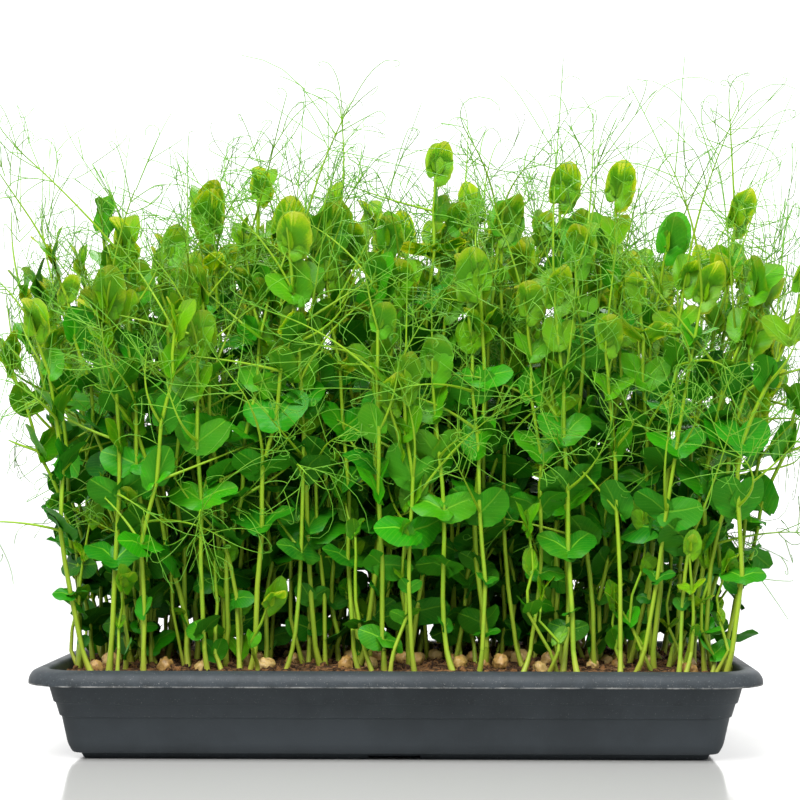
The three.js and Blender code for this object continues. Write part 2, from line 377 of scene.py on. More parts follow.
@dataclass(frozen=True)
class PeaSkin(Finish):
    """The wrinkled skin of a germinated pea, from tan to olive by its "tint" attribute."""

    name: ClassVar[str] = "pea_skin"
    pale: Colour = (0.52, 0.36, 0.125)
    tan: Colour = (0.34, 0.195, 0.052)
    olive: Colour = (0.36, 0.32, 0.06)
    stain: Colour = (0.11, 0.052, 0.02)
    tan_tints: Range = (0.15, 0.75)
    olive_tints: Range = (0.8, 0.95)
    patches: Mottle = Mottle(330, 5, 0.65, 0.50, 0.74)
    patch_share: float = 0.75
    folds: float = 620
    creases: float = 2100
    crease_share: float = 0.3
    fold_depth: float = 0.35 * MM
    light_depth: float = 0.8 * MM
    light_colour: Colour = (1.0, 0.6, 0.25)
    light_share: float = 0.15
    roughness: float = 0.48
    specular: float = 0.45

    def paint(self, shader: Shader) -> None:
        """Gives the shader its colours, gloss and relief.

        Args:
            shader: the shader.
        """
        tint = shader.attribute("tint")
        base = shader.blend(shader.ramp(tint, *self.tan_tints), self.pale, self.tan)
        base = shader.blend(shader.ramp(tint, *self.olive_tints), base, self.olive)
        patches = shader.times(shader.mottle(self.patches), self.patch_share)
        shader.set(
            Base_Color=shader.blend(patches, base, self.stain),
            Roughness=self.roughness,
            Specular_IOR_Level=self.specular,
            Subsurface_Weight=self.light_share,
            Subsurface_Radius=self.light_colour,
            Subsurface_Scale=self.light_depth,
        )
        creases = shader.times(shader.noise(self.creases, 2), self.crease_share)
        folds = shader.math("ADD", shader.noise(self.folds, 4, 0.6), creases)
        shader.bump(folds, self.fold_depth, 0.7)


@dataclass(frozen=True)
class Haulm(Finish):
    """The skin of stems, stalks and tendrils.

    The "age" attribute runs from 0 at the pale foot, through 0.5 for the bright stem, to 1 for
    the deeper green of thin tendrils.
    """

    name: str
    foot: Colour = (0.37, 0.38, 0.050)
    stem: Colour = (0.215, 0.375, 0.009)
    thin: Colour = (0.092, 0.300, 0.018)
    foot_ages: Range = (0.02, 0.42)
    thin_ages: Range = (0.55, 1.0)
    streaks: Mottle = Mottle(190, 4, 0.55, 0.35, 0.7)
    streak_shares: Range = (0.15, 0.75)
    streak_depth: float = 0.55
    grain: float = 900
    grain_depth: float = 0.08 * MM
    roughness: float = 0.45
    specular: float = 0.22

    def paint(self, shader: Shader) -> None:
        """Gives the shader its colours, gloss and relief.

        Args:
            shader: the shader.
        """
        age = shader.attribute("age")
        base = shader.blend(shader.ramp(age, *self.foot_ages), self.foot, self.stem)
        base = shader.blend(shader.ramp(age, *self.thin_ages), base, self.thin)
        streaked = shader.blend(self.streak_depth, base, self.thin)
        share = shader.between(shader.attribute("tint"), self.streak_shares)
        share = shader.times(shader.mottle(self.streaks), share)
        shader.set(
            Base_Color=shader.blend(share, base, streaked),
            Roughness=self.roughness,
            Specular_IOR_Level=self.specular,
        )
        shader.bump(shader.noise(self.grain, 2), self.grain_depth, 0.5)


@dataclass(frozen=True)
class LeafBlade(Finish):
    """A thin leaf that lets light through, with a pale midrib, fine veins and silvery flecks.

    The veins follow the "blade" UV map. The "age" attribute runs from 0 for an old low leaf to 1
    for a young one at the top.
    """

    name: ClassVar[str] = "leaf_blade"
    old: Colour = (0.004, 0.090, 0.006)
    grown: Colour = (0.014, 0.215, 0.002)
    young: Colour = (0.098, 0.270, 0.003)
    vein: Colour = (0.17, 0.42, 0.02)
    fleck: Colour = (0.26, 0.50, 0.11)
    back: Colour = (0.035, 0.17, 0.006)
    midrib_edges: Range = (0.036, 0.018)
    midrib_taper: float = 0.012
    laterals: float = 6.5
    lateral_rise: float = 0.95
    lateral_edges: Range = (0.13, 0.03)
    lateral_share: float = 0.26
    net: Mottle = Mottle(1700, 3, 0.6, 0.50, 0.66)
    net_share: float = 0.14
    vein_share: float = 0.62
    clouds: Mottle = Mottle(120, 4, 0.5, 0.3, 0.75)
    cloud_share: float = 0.30
    flecks: Mottle = Mottle(760, 4, 0.7, 0.60, 0.69)
    fleck_edges: Range = (0.32, 0.06)
    fleck_tints: Range = (0.45, 0.9)
    fleck_share: float = 0.55
    back_share: float = 0.45
    relief: float = 0.14 * MM
    light_ages: Range = (0.5, 0.95)
    light_depth: float = 2.6 * MM
    light_colour: Colour = (0.75, 1.0, 0.12)
    light_share: float = 0.5
    roughness: Range = (0.37, 0.57)
    specular: float = 0.11

    def veins(self, shader: Shader, side: Socket, along: Socket, net: Socket) -> Socket:
        """Draws the midrib, the lateral veins that climb from it and the net between them.

        Args:
            shader: the material's node tree.
            side: the distance from the midrib, from 0 to 1.
            along: the way up the midrib, from 0 at the foot to 1.
            net: the pattern of the finest veins.

        Returns:
            How much of a vein there is, from 0 to 1.
        """
        midrib = shader.math("MULTIPLY_ADD", along, self.midrib_taper, side)
        climb = shader.times(shader.math("POWER", side, 0.8), self.lateral_rise)
        fan = shader.times(shader.math("SUBTRACT", along, climb), self.laterals)
        fan = shader.math("FRACT", fan)
        lateral = shader.math("ABSOLUTE", shader.math("SUBTRACT", fan, 0.5))
        lateral = shader.times(shader.ramp(lateral, *self.lateral_edges), self.lateral_share)
        drawn = shader.math("MAXIMUM", shader.ramp(midrib, *self.midrib_edges), lateral)
        return shader.math("MAXIMUM", drawn, shader.times(net, self.net_share))

    def paint(self, shader: Shader) -> None:
        """Gives the shader its colours, gloss and relief.

        Args:
            shader: the shader.
        """
        place = shader.node("SeparateXYZ", {0: shader.node("UVMap", uv_map="blade").outputs["UV"]})
        side, along = (shader.math("MULTIPLY_ADD", place.outputs[k], 2.0, -1.0) for k in "XY")
        side = shader.math("ABSOLUTE", side)
        age, tint, under = (shader.attribute(name) for name in ("age", "tint", "underside"))
        net = shader.mottle(self.net)
        veins = self.veins(shader, side, along, net)

        base = shader.blend(shader.ramp(age, 0.0, 0.5), self.old, self.grown)
        base = shader.blend(shader.ramp(age, 0.5, 1.0), base, self.young)
        clouds = shader.times(shader.mottle(self.clouds), self.cloud_share)
        base = shader.blend(shader.times(clouds, tint), base, self.young)
        flecks = shader.times(shader.mottle(self.flecks), shader.ramp(side, *self.fleck_edges))
        flecks = shader.times(flecks, shader.ramp(tint, *self.fleck_tints))
        base = shader.blend(shader.times(flecks, self.fleck_share), base, self.fleck)
        base = shader.blend(shader.times(veins, self.vein_share), base, self.vein)
        shader.set(
            Base_Color=shader.blend(shader.times(under, self.back_share), base, self.back),
            Roughness=shader.between(under, self.roughness),
            Specular_IOR_Level=self.specular,
            Subsurface_Weight=shader.times(shader.ramp(age, *self.light_ages), self.light_share),
            Subsurface_Radius=self.light_colour,
            Subsurface_Scale=self.light_depth,
        )
        relief = shader.math("SUBTRACT", shader.times(net, 0.3), veins)
        shader.bump(relief, self.relief, 0.55)


@dataclass(frozen=True)
class FloorGloss(Finish):
    """A pale polished floor."""

    name: ClassVar[str] = "floor_gloss"
    colour: Colour = (0.575, 0.575, 0.56)
    roughness: float = 0.11
    specular: float = 0.45

    def paint(self, shader: Shader) -> None:
        """Gives the shader its colours, gloss and relief.

        Args:
            shader: the shader.
        """
        shader.set(
            Base_Color=self.colour, Roughness=self.roughness, Specular_IOR_Level=self.specular
        )


# ---------------------------------------------------------------- trees of geometry nodes


def shown(name: str, data: bpy.types.ID) -> Object:
    """Puts a mesh, a light or a camera into the scene as an object.

    Args:
        name: the object's name.
        data: the mesh, light or camera.

    Returns:
        The object.
    """
    made = bpy.data.objects.new(name, data)
    bpy.context.scene.collection.objects.link(made)
    return made


class Growing:
    """A tree of geometry nodes with named inputs, which turns a mesh into finished geometry."""

    def __init__(self, name: str, **inputs: str) -> None:
        """Starts the tree.

        Args:
            name: the tree's name.
            inputs: the socket class of each named input, without its NodeSocket prefix.
        """
        self.tree = bpy.data.node_groups.new(name, "GeometryNodeTree")
        face = self.tree.interface
        face.new_socket("Geometry", in_out="INPUT", socket_type="NodeSocketGeometry")
        self.sockets = {
            name: face.new_socket(name, in_out="INPUT", socket_type="NodeSocket" + kind).identifier
            for name, kind in inputs.items()
        }
        face.new_socket("Geometry", in_out="OUTPUT", socket_type="NodeSocketGeometry")
        self.entry = self.tree.nodes.new("NodeGroupInput").outputs

    def node(self, kind: str, inputs: Inputs | None = None, **settings: object) -> Socket:
        """Adds a node and gives its first output.

        Args:
            kind: the node's class.
            inputs: a socket or a value for each named input.
            settings: the node's own properties.

        Returns:
            The node's first output that is in use.
        """
        made = self.tree.nodes.new(kind)
        for key, value in settings.items():
            setattr(made, key, value)
        for key, value in (inputs or {}).items():
            target = next(s for k, s in enumerate(made.inputs) if s.enabled and key in (k, s.name))
            if isinstance(value, Socket):
                self.tree.links.new(value, target)
            else:
                target.default_value = value
        return next(s for s in made.outputs if s.enabled)

    def named(self, name: str, data_type: str = "FLOAT") -> Socket:
        """A named attribute of the geometry."""
        return self.node("GeometryNodeInputNamedAttribute", {"Name": name}, data_type=data_type)

    def random(self, data_type: str, **inputs: object) -> Socket:
        """A random number, whole number or vector for each point."""
        return self.node("FunctionNodeRandomValue", inputs, data_type=data_type)

    def set_templates(self, points: Socket, template: Socket, turn: Socket, size: Socket) -> None:
        """Ends the tree with a copy of one of the input Templates on each point.

        Args:
            points: the points.
            template: the number of each point's template.
            turn: its rotation.
            size: its size.
        """
        templates = self.entry["Templates"]
        inputs = {"Collection": templates, "Separate Children": True, "Reset Children": True}
        choice = self.node("GeometryNodeCollectionInfo", inputs)
        inputs = {
            "Points": points,
            "Instance": choice,
            "Pick Instance": True,
            "Instance Index": template,
            "Rotation": turn,
            "Scale": size,
        }
        self.close(self.node("GeometryNodeInstanceOnPoints", inputs))

    def close(self, geometry: Socket) -> None:
        """Ends the tree: real geometry, smooth, with its finish.

        Args:
            geometry: what the tree has made.
        """
        real = self.node("GeometryNodeRealizeInstances", {"Geometry": geometry})
        smooth = self.node("GeometryNodeSetShadeSmooth", {"Geometry": real})
        inputs = {"Geometry": smooth, "Material": self.entry["Finish"]}
        dressed = self.node("GeometryNodeSetMaterial", inputs)
        exit_node = self.tree.nodes.new("NodeGroupOutput")
        self.tree.links.new(dressed, exit_node.inputs["Geometry"])

    def grow(self, sown: Object, name: str, **values: object) -> Object:
        """Runs the tree on an object and keeps the result as a plain mesh.

        Args:
            sown: the object that holds the points or paths. It is used up.
            name: the name of the finished piece.
            values: the tree's named inputs.

        Returns:
            The finished piece.
        """
        modifier = sown.modifiers.new(self.tree.name, "NODES")
        modifier.node_group = self.tree
        for key, value in values.items():
            modifier[self.sockets[key]] = value
        view = bpy.context.evaluated_depsgraph_get()
        mesh = bpy.data.meshes.new_from_object(sown.evaluated_get(view))
        sown.modifiers.remove(modifier)
        bpy.data.objects.remove(sown)
        mesh.name = name
        return shown(name, mesh)


def sweeping_tree() -> Growing:
    """Makes closed round tubes along paths, as thick as the "radius" attribute says.

    Returns:
        The tree, with inputs Sides, Thickness and Finish.
    """
    made = Growing("sweep_tubes", Sides="Int", Thickness="Float", Finish="Material")
    curve = made.node("GeometryNodeMeshToCurve", {"Mesh": made.entry["Geometry"]})
    inputs = {"Resolution": made.entry["Sides"], "Radius": 1.0}
    ring = made.node("GeometryNodeCurvePrimitiveCircle", inputs)
    inputs = {0: made.named("radius"), 1: made.entry["Thickness"]}
    thick = made.node("ShaderNodeMath", inputs, operation="MULTIPLY")
    inputs = {"Curve": curve, "Profile Curve": ring, "Scale": thick, "Fill Caps": True}
    made.close(made.node("GeometryNodeCurveToMesh", inputs))
    return made


def setting_tree() -> Growing:
    """Sets a copy of one of several templates on each point, turned and sized by its attributes.

    Returns:
        The tree, with inputs Templates, Size and Finish.
    """
    made = Growing("set_templates", Templates="Collection", Size="Float", Finish="Material")
    inputs = {0: made.named("size", "FLOAT_VECTOR"), "Scale": made.entry["Size"]}
    size = made.node("ShaderNodeVectorMath", inputs, operation="SCALE")
    template, turn = made.named("template", "INT"), made.named("turn", "QUATERNION")
    made.set_templates(made.entry["Geometry"], template, turn, size)
    return made


def scattering_tree() -> Growing:
    """Scatters turned copies of the templates over the upward faces of a surface.

    Returns:
        The tree, with inputs Templates, Density, Smallest, Largest, Seed and Finish.
    """
    made = Growing(
        "scatter_crumbs",
        Templates="Collection",
        Density="Float",
        Smallest="Float",
        Largest="Float",
        Seed="Int",
        Finish="Material",
    )
    seed = made.entry["Seed"]
    inputs = {"Mesh": made.entry["Geometry"], "Density": made.entry["Density"], "Seed": seed}
    points = made.node("GeometryNodeDistributePointsOnFaces", inputs)
    template = made.random("INT", Max=1000, Seed=seed)  # counted round and round the templates
    turn = made.random("FLOAT_VECTOR", Max=(math.tau, math.tau, math.tau), Seed=seed)
    turn = made.node("FunctionNodeEulerToRotation", {"Euler": turn})
    size = made.random("FLOAT", Min=made.entry["Smallest"], Max=made.entry["Largest"], Seed=seed)
    made.set_templates(points, template, turn, size)
    return made


# ---------------------------------------------------------------- gathering points and paths


def fill_attribute(mesh: Mesh, name: str, kind: str, values: Sequence[object]) -> None:
    """Stores one value for each point of a mesh.

    Args:
        mesh: the mesh.
        name: the attribute's name.
        kind: its data type.
        values: the values, one for each point.
    """
    layer = mesh.attributes.new(name, kind, "POINT")
    key = "vector" if kind == "FLOAT_VECTOR" else "value"
    number = np.int32 if kind == "INT" else np.float32
    layer.data.foreach_set(key, np.array(values, dtype=number).ravel())


def seedling(name: str, points: Sequence[Vector], edges: Sequence[tuple[int, int]]) -> Object:
    """A new object of bare points and edges, for a tree of geometry nodes to grow.

    Args:
        name: the object's name.
        points: the places of the points.
        edges: the pairs of points that are joined.

    Returns:
        The object.
    """
    mesh = bpy.data.meshes.new(name)
    mesh.from_pydata([tuple(p) for p in points], list(edges), [])
    return shown(name, mesh)


@dataclass
class Strands:
    """Paths of stems, stalks, tendrils or fibres, gathered for one sweep."""

    points: list[Vector] = field(default_factory=list)
    edges: list[tuple[int, int]] = field(default_factory=list)
    radii: list[float] = field(default_factory=list)
    ages: list[float] = field(default_factory=list)
    tints: list[float] = field(default_factory=list)

    def add(self, path: Path, radii: Range, ages: Range, tint: float) -> None:
        """Adds a path that thins and changes colour evenly from its start to its end.

        Args:
            path: the points.
            radii: the radius at the start and at the end.
            ages: the "age" at the start and at the end.
            tint: the "tint" of the whole path.
        """
        first = len(self.points)
        last = len(path) - 1
        self.points += path
        self.edges += [(first + k, first + k + 1) for k in range(last)]
        self.radii += list(np.linspace(*radii, last + 1))
        self.ages += list(np.linspace(*ages, last + 1))
        self.tints += [tint] * (last + 1)

    def sweep(self, name: str, tree: Growing, sides: int, finish: Material) -> Object:
        """Makes the tubes.

        Args:
            name: the piece's name.
            tree: the tree of geometry nodes that sweeps.
            sides: the sides of a tube.
            finish: the material.

        Returns:
            The piece.
        """
        made = seedling(name, self.points, self.edges)
        for key, values in (("radius", self.radii), ("age", self.ages), ("tint", self.tints)):
            fill_attribute(made.data, key, "FLOAT", values)
        return tree.grow(made, name, Sides=sides, Thickness=1.0, Finish=finish)


@dataclass
class Settings:
    """Places of leaves or peas, gathered for one setting of templates."""

    points: list[Vector] = field(default_factory=list)
    turns: list[Quaternion] = field(default_factory=list)
    sizes: list[Vector] = field(default_factory=list)
    templates: list[int] = field(default_factory=list)
    ages: list[float] = field(default_factory=list)
    tints: list[float] = field(default_factory=list)

    def add(
        self, point: Vector, turn: Quaternion, size: Vector, template: int, age: float, tint: float
    ) -> None:
        """Adds a copy of a template.

        Args:
            point: where its origin goes.
            turn: its rotation.
            size: its size along each of its own axes.
            template: the number of the template.
            age: its "age".
            tint: its "tint".
        """
        self.points.append(point)
        self.turns.append(turn)
        self.sizes.append(size)
        self.templates.append(template)
        self.ages.append(age)
        self.tints.append(tint)

    def set_out(self, name: str, tree: Growing, templates: Collection, finish: Material) -> Object:
        """Sets a copy of a template on each place.

        Args:
            name: the piece's name.
            tree: the tree of geometry nodes that sets templates on points.
            templates: the collection of templates.
            finish: the material.

        Returns:
            The piece.
        """
        made = seedling(name, self.points, [])
        fill_attribute(made.data, "turn", "QUATERNION", [tuple(q) for q in self.turns])
        fill_attribute(made.data, "size", "FLOAT_VECTOR", [tuple(v) for v in self.sizes])
        fill_attribute(made.data, "template", "INT", self.templates)
        fill_attribute(made.data, "age", "FLOAT", self.ages)
        fill_attribute(made.data, "tint", "FLOAT", self.tints)
        return tree.grow(made, name, Templates=templates, Size=1.0, Finish=finish)


def template_collection(name: str, templates: Iterable[Object]) -> Collection:
    """A collection of templates that isn't shown itself.

    Args:
        name: the collection's name.
        templates: the template objects, in the order of their numbers.

    Returns:
        The collection.
    """
    made = bpy.data.collections.new(name)
    for template in templates:
        made.objects.link(template)
    return made


# ---------------------------------------------------------------- leaf blades


class Pose(Enum):
    """How a blade is held, with its fold along the midrib, its droop and its waves."""

    OPEN = (0.16, 0.08, 0.045)
    CUPPED = (0.30, -0.15, 0.040)
    DROOPED = (0.10, 0.28, 0.060)
    FOLDED = (0.65, 0.06, 0.010)

    def __init__(self, fold: float, droop: float, wave: float) -> None:
        """Keeps the three shares of the blade's size.

        Args:
            fold: how far the blade folds up along its midrib.
            droop: how far its end droops.
            wave: how high its waves are.
        """
        self.fold = fold
        self.droop = droop
        self.wave = wave


@dataclass(frozen=True)
class Blade:
    """One stipule of unit length: a rounded fan from its foot, with a toothed lobe to one side.

    Its outline is an ellipse round a centre that lies beside and beyond the foot, drawn in to
    the foot at both ends of the fan. Angles are in degrees from the midrib.
    """

    pose: Pose
    side: int
    rays: int
    rings: int
    centre: Range = (0.09, 0.36)
    half_axes: Range = (0.46, 0.66)
    first: float = -118.0
    last: float = 178.0
    drawn_in: float = 24.0
    drawn_reach: float = 0.55
    tooth: float = 0.028
    teeth_from: float = 22.0
    thickness: float = 0.016
    dome: float = 0.05
    fold_power: float = 1.3
    wave_run: Range = (5.0, 8.0)
    wave_shift: float = 2.4
    samples: int = 240

    def reach(self, angle: float) -> float:
        """How far the smooth margin lies from the foot.

        Args:
            angle: the angle from the midrib.

        Returns:
            The distance, against the blade's length.
        """
        sine, cosine = math.sin(math.radians(angle)), math.cos(math.radians(angle))
        (x, y), (wide, long) = self.centre, self.half_axes
        a = (sine / wide) ** 2 + (cosine / long) ** 2
        b = sine * x / wide**2 + cosine * y / long**2
        c = (x / wide) ** 2 + (y / long) ** 2 - 1
        margin = (b + math.sqrt(b * b - a * c)) / a
        end = min(angle - self.first, self.last - angle, self.drawn_in) / self.drawn_in
        drawn = self.drawn_reach + (1 - self.drawn_reach) * math.sin(0.5 * math.pi * end)
        return margin * drawn

    def place(self, angle: float, share: float, tooth: float) -> Vector:
        """A point of the middle surface.

        Args:
            angle: the angle from the midrib.
            share: how far it lies on the way to the margin, from 0 to 1.
            tooth: how far a tooth stands out of the smooth margin there.

        Returns:
            The point, with +Y along the midrib and +Z up.
        """
        reach = share * (self.reach(angle) + tooth)
        x = reach * math.sin(math.radians(angle))
        y = reach * math.cos(math.radians(angle))
        fold = self.pose.fold * abs(x) ** self.fold_power
        droop = self.pose.droop * max(y, 0.0) ** 2
        run = self.wave_run[1] * y + self.wave_shift * self.side + self.wave_run[0] * x
        ripple = self.pose.wave * math.sin(run) * share * share
        dome = self.dome * math.sin(math.pi * share)
        return Vector((self.side * x, y, fold - droop + ripple + dome))

    def angles(self) -> list[float]:
        """The angles of the fan's rays.

        Returns:
            The angles, for which the ends of the rays are evenly spaced along the margin.
        """
        fine = np.linspace(self.first, self.last, self.samples)
        rim = np.array([tuple(self.place(angle, 1.0, 0.0)) for angle in fine])
        run = np.concatenate(([0.0], np.cumsum(np.linalg.norm(np.diff(rim, axis=0), axis=1))))
        even = np.linspace(0, run[-1], self.rays + 1)
        return [float(angle) for angle in np.interp(even, run, fine)]

    def surfaces(self) -> tuple[list[Vector], list[Grid]]:
        """Lays out the upper and the lower surface, which meet at the foot and along the margin.

        Returns:
            The points, and for each surface its rings of point numbers.
        """
        angles = self.angles()
        points = [self.place(0.0, 0.0, 0.0)]
        layers: list[Grid] = []
        for level in (1, -1):
            grid: Grid = []
            for ring in range(1, self.rings + 1):
                line: list[int] = []
                for k, angle in enumerate(angles):
                    margin = ring == self.rings or k in (0, self.rays)
                    if margin and level < 0:
                        line.append(layers[0][ring - 1][k])
                        continue
                    toothed = ring == self.rings and angle > self.teeth_from and k % 2
                    place = self.place(angle, ring / self.rings, self.tooth if toothed else 0.0)
                    lift = 0.0 if margin else 0.5 * self.thickness * level
                    line.append(len(points))
                    points.append(place + Vector((0, 0, lift)))
                grid.append(line)
            layers.append(grid)
        return points, layers

    def faces(self, layers: list[Grid]) -> list[tuple[int, ...]]:
        """Joins the points of both surfaces by faces that face outwards.

        Args:
            layers: for each surface, its rings of point numbers.

        Returns:
            The faces of the upper surface and then as many of the lower one.
        """
        faces: list[tuple[int, ...]] = []
        for level, grid in enumerate(layers):
            made = [(0, b, a) for a, b in zip(grid[0], grid[0][1:])]
            for low, high in zip(grid, grid[1:]):
                made += zip(low, low[1:], high[1:], high)
            upward = (self.side > 0) == (level == 0)
            faces += [face if upward else face[::-1] for face in made]
        return faces

    def build(self, name: str) -> Object:
        """Builds the blade as a closed lens, thin at its margin.

        Args:
            name: the template's name.

        Returns:
            The template, with the "blade" UV map and the "underside" attribute.
        """
        points, layers = self.surfaces()
        faces = self.faces(layers)
        mesh = bpy.data.meshes.new(name)
        mesh.from_pydata([tuple(p) for p in points], [], faces)
        spots = [(0.5 + 0.5 * self.side * p.x, 0.5 + 0.5 * p.y) for p in points]
        uv = mesh.uv_layers.new(name="blade").data
        uv.foreach_set("uv", [n for loop in mesh.loops for n in spots[loop.vertex_index]])
        rows = layers[0]
        rim = [0, *(row[0] for row in rows), *rows[-1][1:-1], *(row[-1] for row in reversed(rows))]
        creases = {frozenset(pair) for pair in zip(rim, rim[1:] + rim[:1])}
        sharp = mesh.attributes.new("sharp_edge", "BOOLEAN", "EDGE").data
        sharp.foreach_set("value", [frozenset(edge.vertices) in creases for edge in mesh.edges])
        under = mesh.attributes.new("underside", "FLOAT", "FACE").data
        under.foreach_set("value", [float(k >= len(faces) // 2) for k in range(len(faces))])
        return bpy.data.objects.new(name, mesh)


class Detail(Enum):
    """How finely a blade is divided: rays from its foot, and rings round it."""

    FINE = (26, 2)
    PLAIN = (14, 2)


BLADE_KINDS = [(detail, pose, side) for detail in Detail for pose in Pose for side in (1, -1)]


def blade_templates() -> Collection:
    """Builds a blade of every kind.

    Returns:
        The collection of them, in the order of BLADE_KINDS.
    """
    blades = (
        Blade(pose, side, *detail.value).build(f"blade_{k:02}")
        for k, (detail, pose, side) in enumerate(BLADE_KINDS)
    )
    return template_collection("blades", blades)


# ---------------------------------------------------------------- shoots


@dataclass
class Organs:
    """What the shoots of one block of the stand are made of."""

    haulm: Strands = field(default_factory=Strands)
    tendrils: Strands = field(default_factory=Strands)
    blades: Settings = field(default_factory=Settings)


@dataclass(frozen=True)
class Room:
    """The box that tendrils bend back from, so that the stand keeps its size."""

    low: Vector
    high: Vector
    soft: float = 26 * MM

    def keep(self, point: Vector) -> Vector:
        """Brings a point that is near or past a side of the box back inside it.

        Args:
            point: the point.

        Returns:
            The point inside. Only the bottom of the box holds nothing back.
        """
        kept = point.copy()
        for k in range(3):
            for wall, sign in ((self.high[k], 1.0), (self.low[k], -1.0)):
                past = sign * (kept[k] - wall) + self.soft
                if past > 0 and not (k == 2 and sign < 0):
                    kept[k] = wall - sign * self.soft * (1 - math.tanh(past / self.soft))
        return kept


@dataclass(frozen=True)
class Tier:
    """What grows at one node: how steep, long and young its blades are, and how long its stalk."""

    raised: float
    blade: float
    age: float
    stalk: float


TIERS = (
    Tier(58, 0.88, 0.80, 0.85),
    Tier(52, 1.0, 0.62, 1.0),
    Tier(46, 1.08, 0.46, 1.08),
    Tier(40, 1.1, 0.34, 1.0),
    Tier(34, 1.04, 0.24, 0.85),
    Tier(30, 0.96, 0.17, 0.7),
    Tier(26, 0.86, 0.10, 0.7),
    Tier(24, 0.8, 0.10, 0.7),
)


@dataclass(frozen=True)
class Growth:
    """How a kind of shoot grows.

    It gives how finely its blades are made, and those of its crown, its possible numbers of
    stalks with tendrils, the size of its low pairs, the chance of a stalk above its crown, and
    how much closer its low nodes stand than its high ones.
    """

    blades: Detail
    crown: Detail
    stalks: tuple[int, ...]
    low_size: float
    reaching: float
    crowding: float
    foot_radius: float = 1.40 * MM
    tip_radius: float = 0.85 * MM
    bare_foot: float = 17 * MM
    blade_length: float = 17.5 * MM


class Habit(Enum):
    """The kinds of shoot: by the row that they stand in, and the short ones beside others."""

    FRONT = Growth(Detail.FINE, Detail.FINE, (6,), 0.45, 0.85, 0.0)
    OUTER = Growth(Detail.PLAIN, Detail.FINE, (3,), 0.95, 0.6, 0.40)
    INNER = Growth(Detail.PLAIN, Detail.FINE, (0, 1, 1, 2), 1.0, 0.4, 0.42)
    SIDE = Growth(
        Detail.PLAIN, Detail.PLAIN, (0,), 0.85, 0.0, 0.45, 1.05 * MM, 0.6 * MM, 9 * MM, 11.5 * MM
    )


@dataclass(frozen=True)
class Stem:
    """The sizes of a stem, whose gaps between nodes are in millimetres, from the tip down.

    A pair of numbers gives the limits of chance, and zigzag, sway, bow and foot_bend are how far
    the stem steps or bends to the side.
    """

    gaps: tuple[float, ...] = (21, 25, 29, 32, 35, 37, 38, 38, 38, 38, 38)
    crowded_from: int = 2
    vigour: Range = (0.86, 1.14)
    stoutness: Range = (0.78, 1.08)
    flare: float = 1.7
    root_depth: float = 6 * MM
    zigzag: float = 1.5 * MM
    zigzags: Range = (0.5, 1.5)
    sway: float = 4.0 * MM
    sway_turn: float = 5.5
    bow: float = 7.0 * MM
    lean: float = 0.28
    foot_bend: float = 6.5 * MM
    foot_height: float = 17 * MM
    foot_points: tuple[float, ...] = (15 * MM, 9 * MM, 4.5 * MM, 0.0)
    closest: float = 3 * MM
    pale_points: int = 5
    pale_age: float = 0.27
    top_ages: Range = (0.46, 0.6)


@dataclass(frozen=True)
class Pairs:
    """The sizes of the pairs of blades and of the crown.

    A pair of numbers gives the limits of chance, and a name that ends in _spread its standard
    deviation. The outward angles, the opening of the crown and raised_spread are in degrees, and
    the other angles in radians.
    """

    low_height: float = 62 * MM
    low_sizes: Range = (0.6, 1.8)
    low_bonus: float = 0.1
    fine_from: float = 0.5
    tilt_spread: float = 0.3
    widths: Range = (0.92, 1.12)
    broad: float = 1.06
    young_slimness: float = 0.3
    waves: Range = (0.7, 1.7)
    tint_spread: float = 0.25
    turn_spread: float = 0.5
    outward: Range = (24, 86)
    raised_spread: float = 17
    sizes: Range = (0.86, 1.14)
    age_spread: float = 0.10
    lift_spread: float = 0.24
    overlap: float = 0.8 * MM
    crown_age: float = 0.84
    crown_age_spread: float = 0.12
    crown_sizes: Range = (1.1, 1.55)
    crown_opening: Range = (3, 20)
    crown_halves: Range = (0.8, 1.0)
    crown_lean: float = 0.12
    crown_twist: float = 0.2
    bud_height: float = 3 * MM
    bud_sizes: Range = (0.34, 0.46)
    bud_lean: float = 0.12
    bud_twist: float = 0.15


@dataclass(frozen=True)
class Stalk:
    """The sizes of a leaf stalk, whose end carries the tendrils.

    A pair of numbers gives the limits of chance, or the values at the start and at the end. Rises
    and the angles of tendrils are in degrees, and bends, turns and swivels in radians.
    """

    length: float = 62 * MM
    sizes: Range = (0.7, 1.25)
    rises: Range = (8, 58)
    crown_sizes: Range = (0.5, 1.4)
    crown_rises: Range = (50, 84)
    bends: Range = (-0.7, 0.45)
    turn_spread: float = 0.5
    pieces: int = 9
    bare: int = 6
    thickness: Range = (0.574, 0.246)
    end_radius: float = 0.44 * MM
    ages: Range = (0.5, 0.66)
    rib_radii: Range = (0.46 * MM, 0.34 * MM)
    rib_ages: Range = (0.66, 0.80)
    swivels: Range = (0.2, 1.1)
    tendril_angles: Range = (24, 70)
    tendril_sizes: Range = (0.6, 1.5)
    last_sizes: Range = (0.8, 1.4)


@dataclass(frozen=True)
class Tendril:
    """The sizes of a tendril, with bends and hooks in radians and angles of forks in degrees."""

    length: float = 44 * MM
    radius: float = 0.33 * MM
    forked_radius: float = 0.27 * MM
    end_radius: float = 0.17 * MM
    ages: Range = (0.80, 1.0)
    bend: float = 1.8
    hooks: Range = (1.5, 5.0)
    hooked: float = 0.5
    straight: float = 0.55
    tightened: float = 0.55
    most_steps: int = 12
    fork_points: tuple[int, ...] = (1, 2, 3, 4)
    forks: tuple[int, ...] = (0, 1, 1, 2)
    fork_angles: Range = (22, 55)
    fork_sizes: Range = (0.4, 0.85)


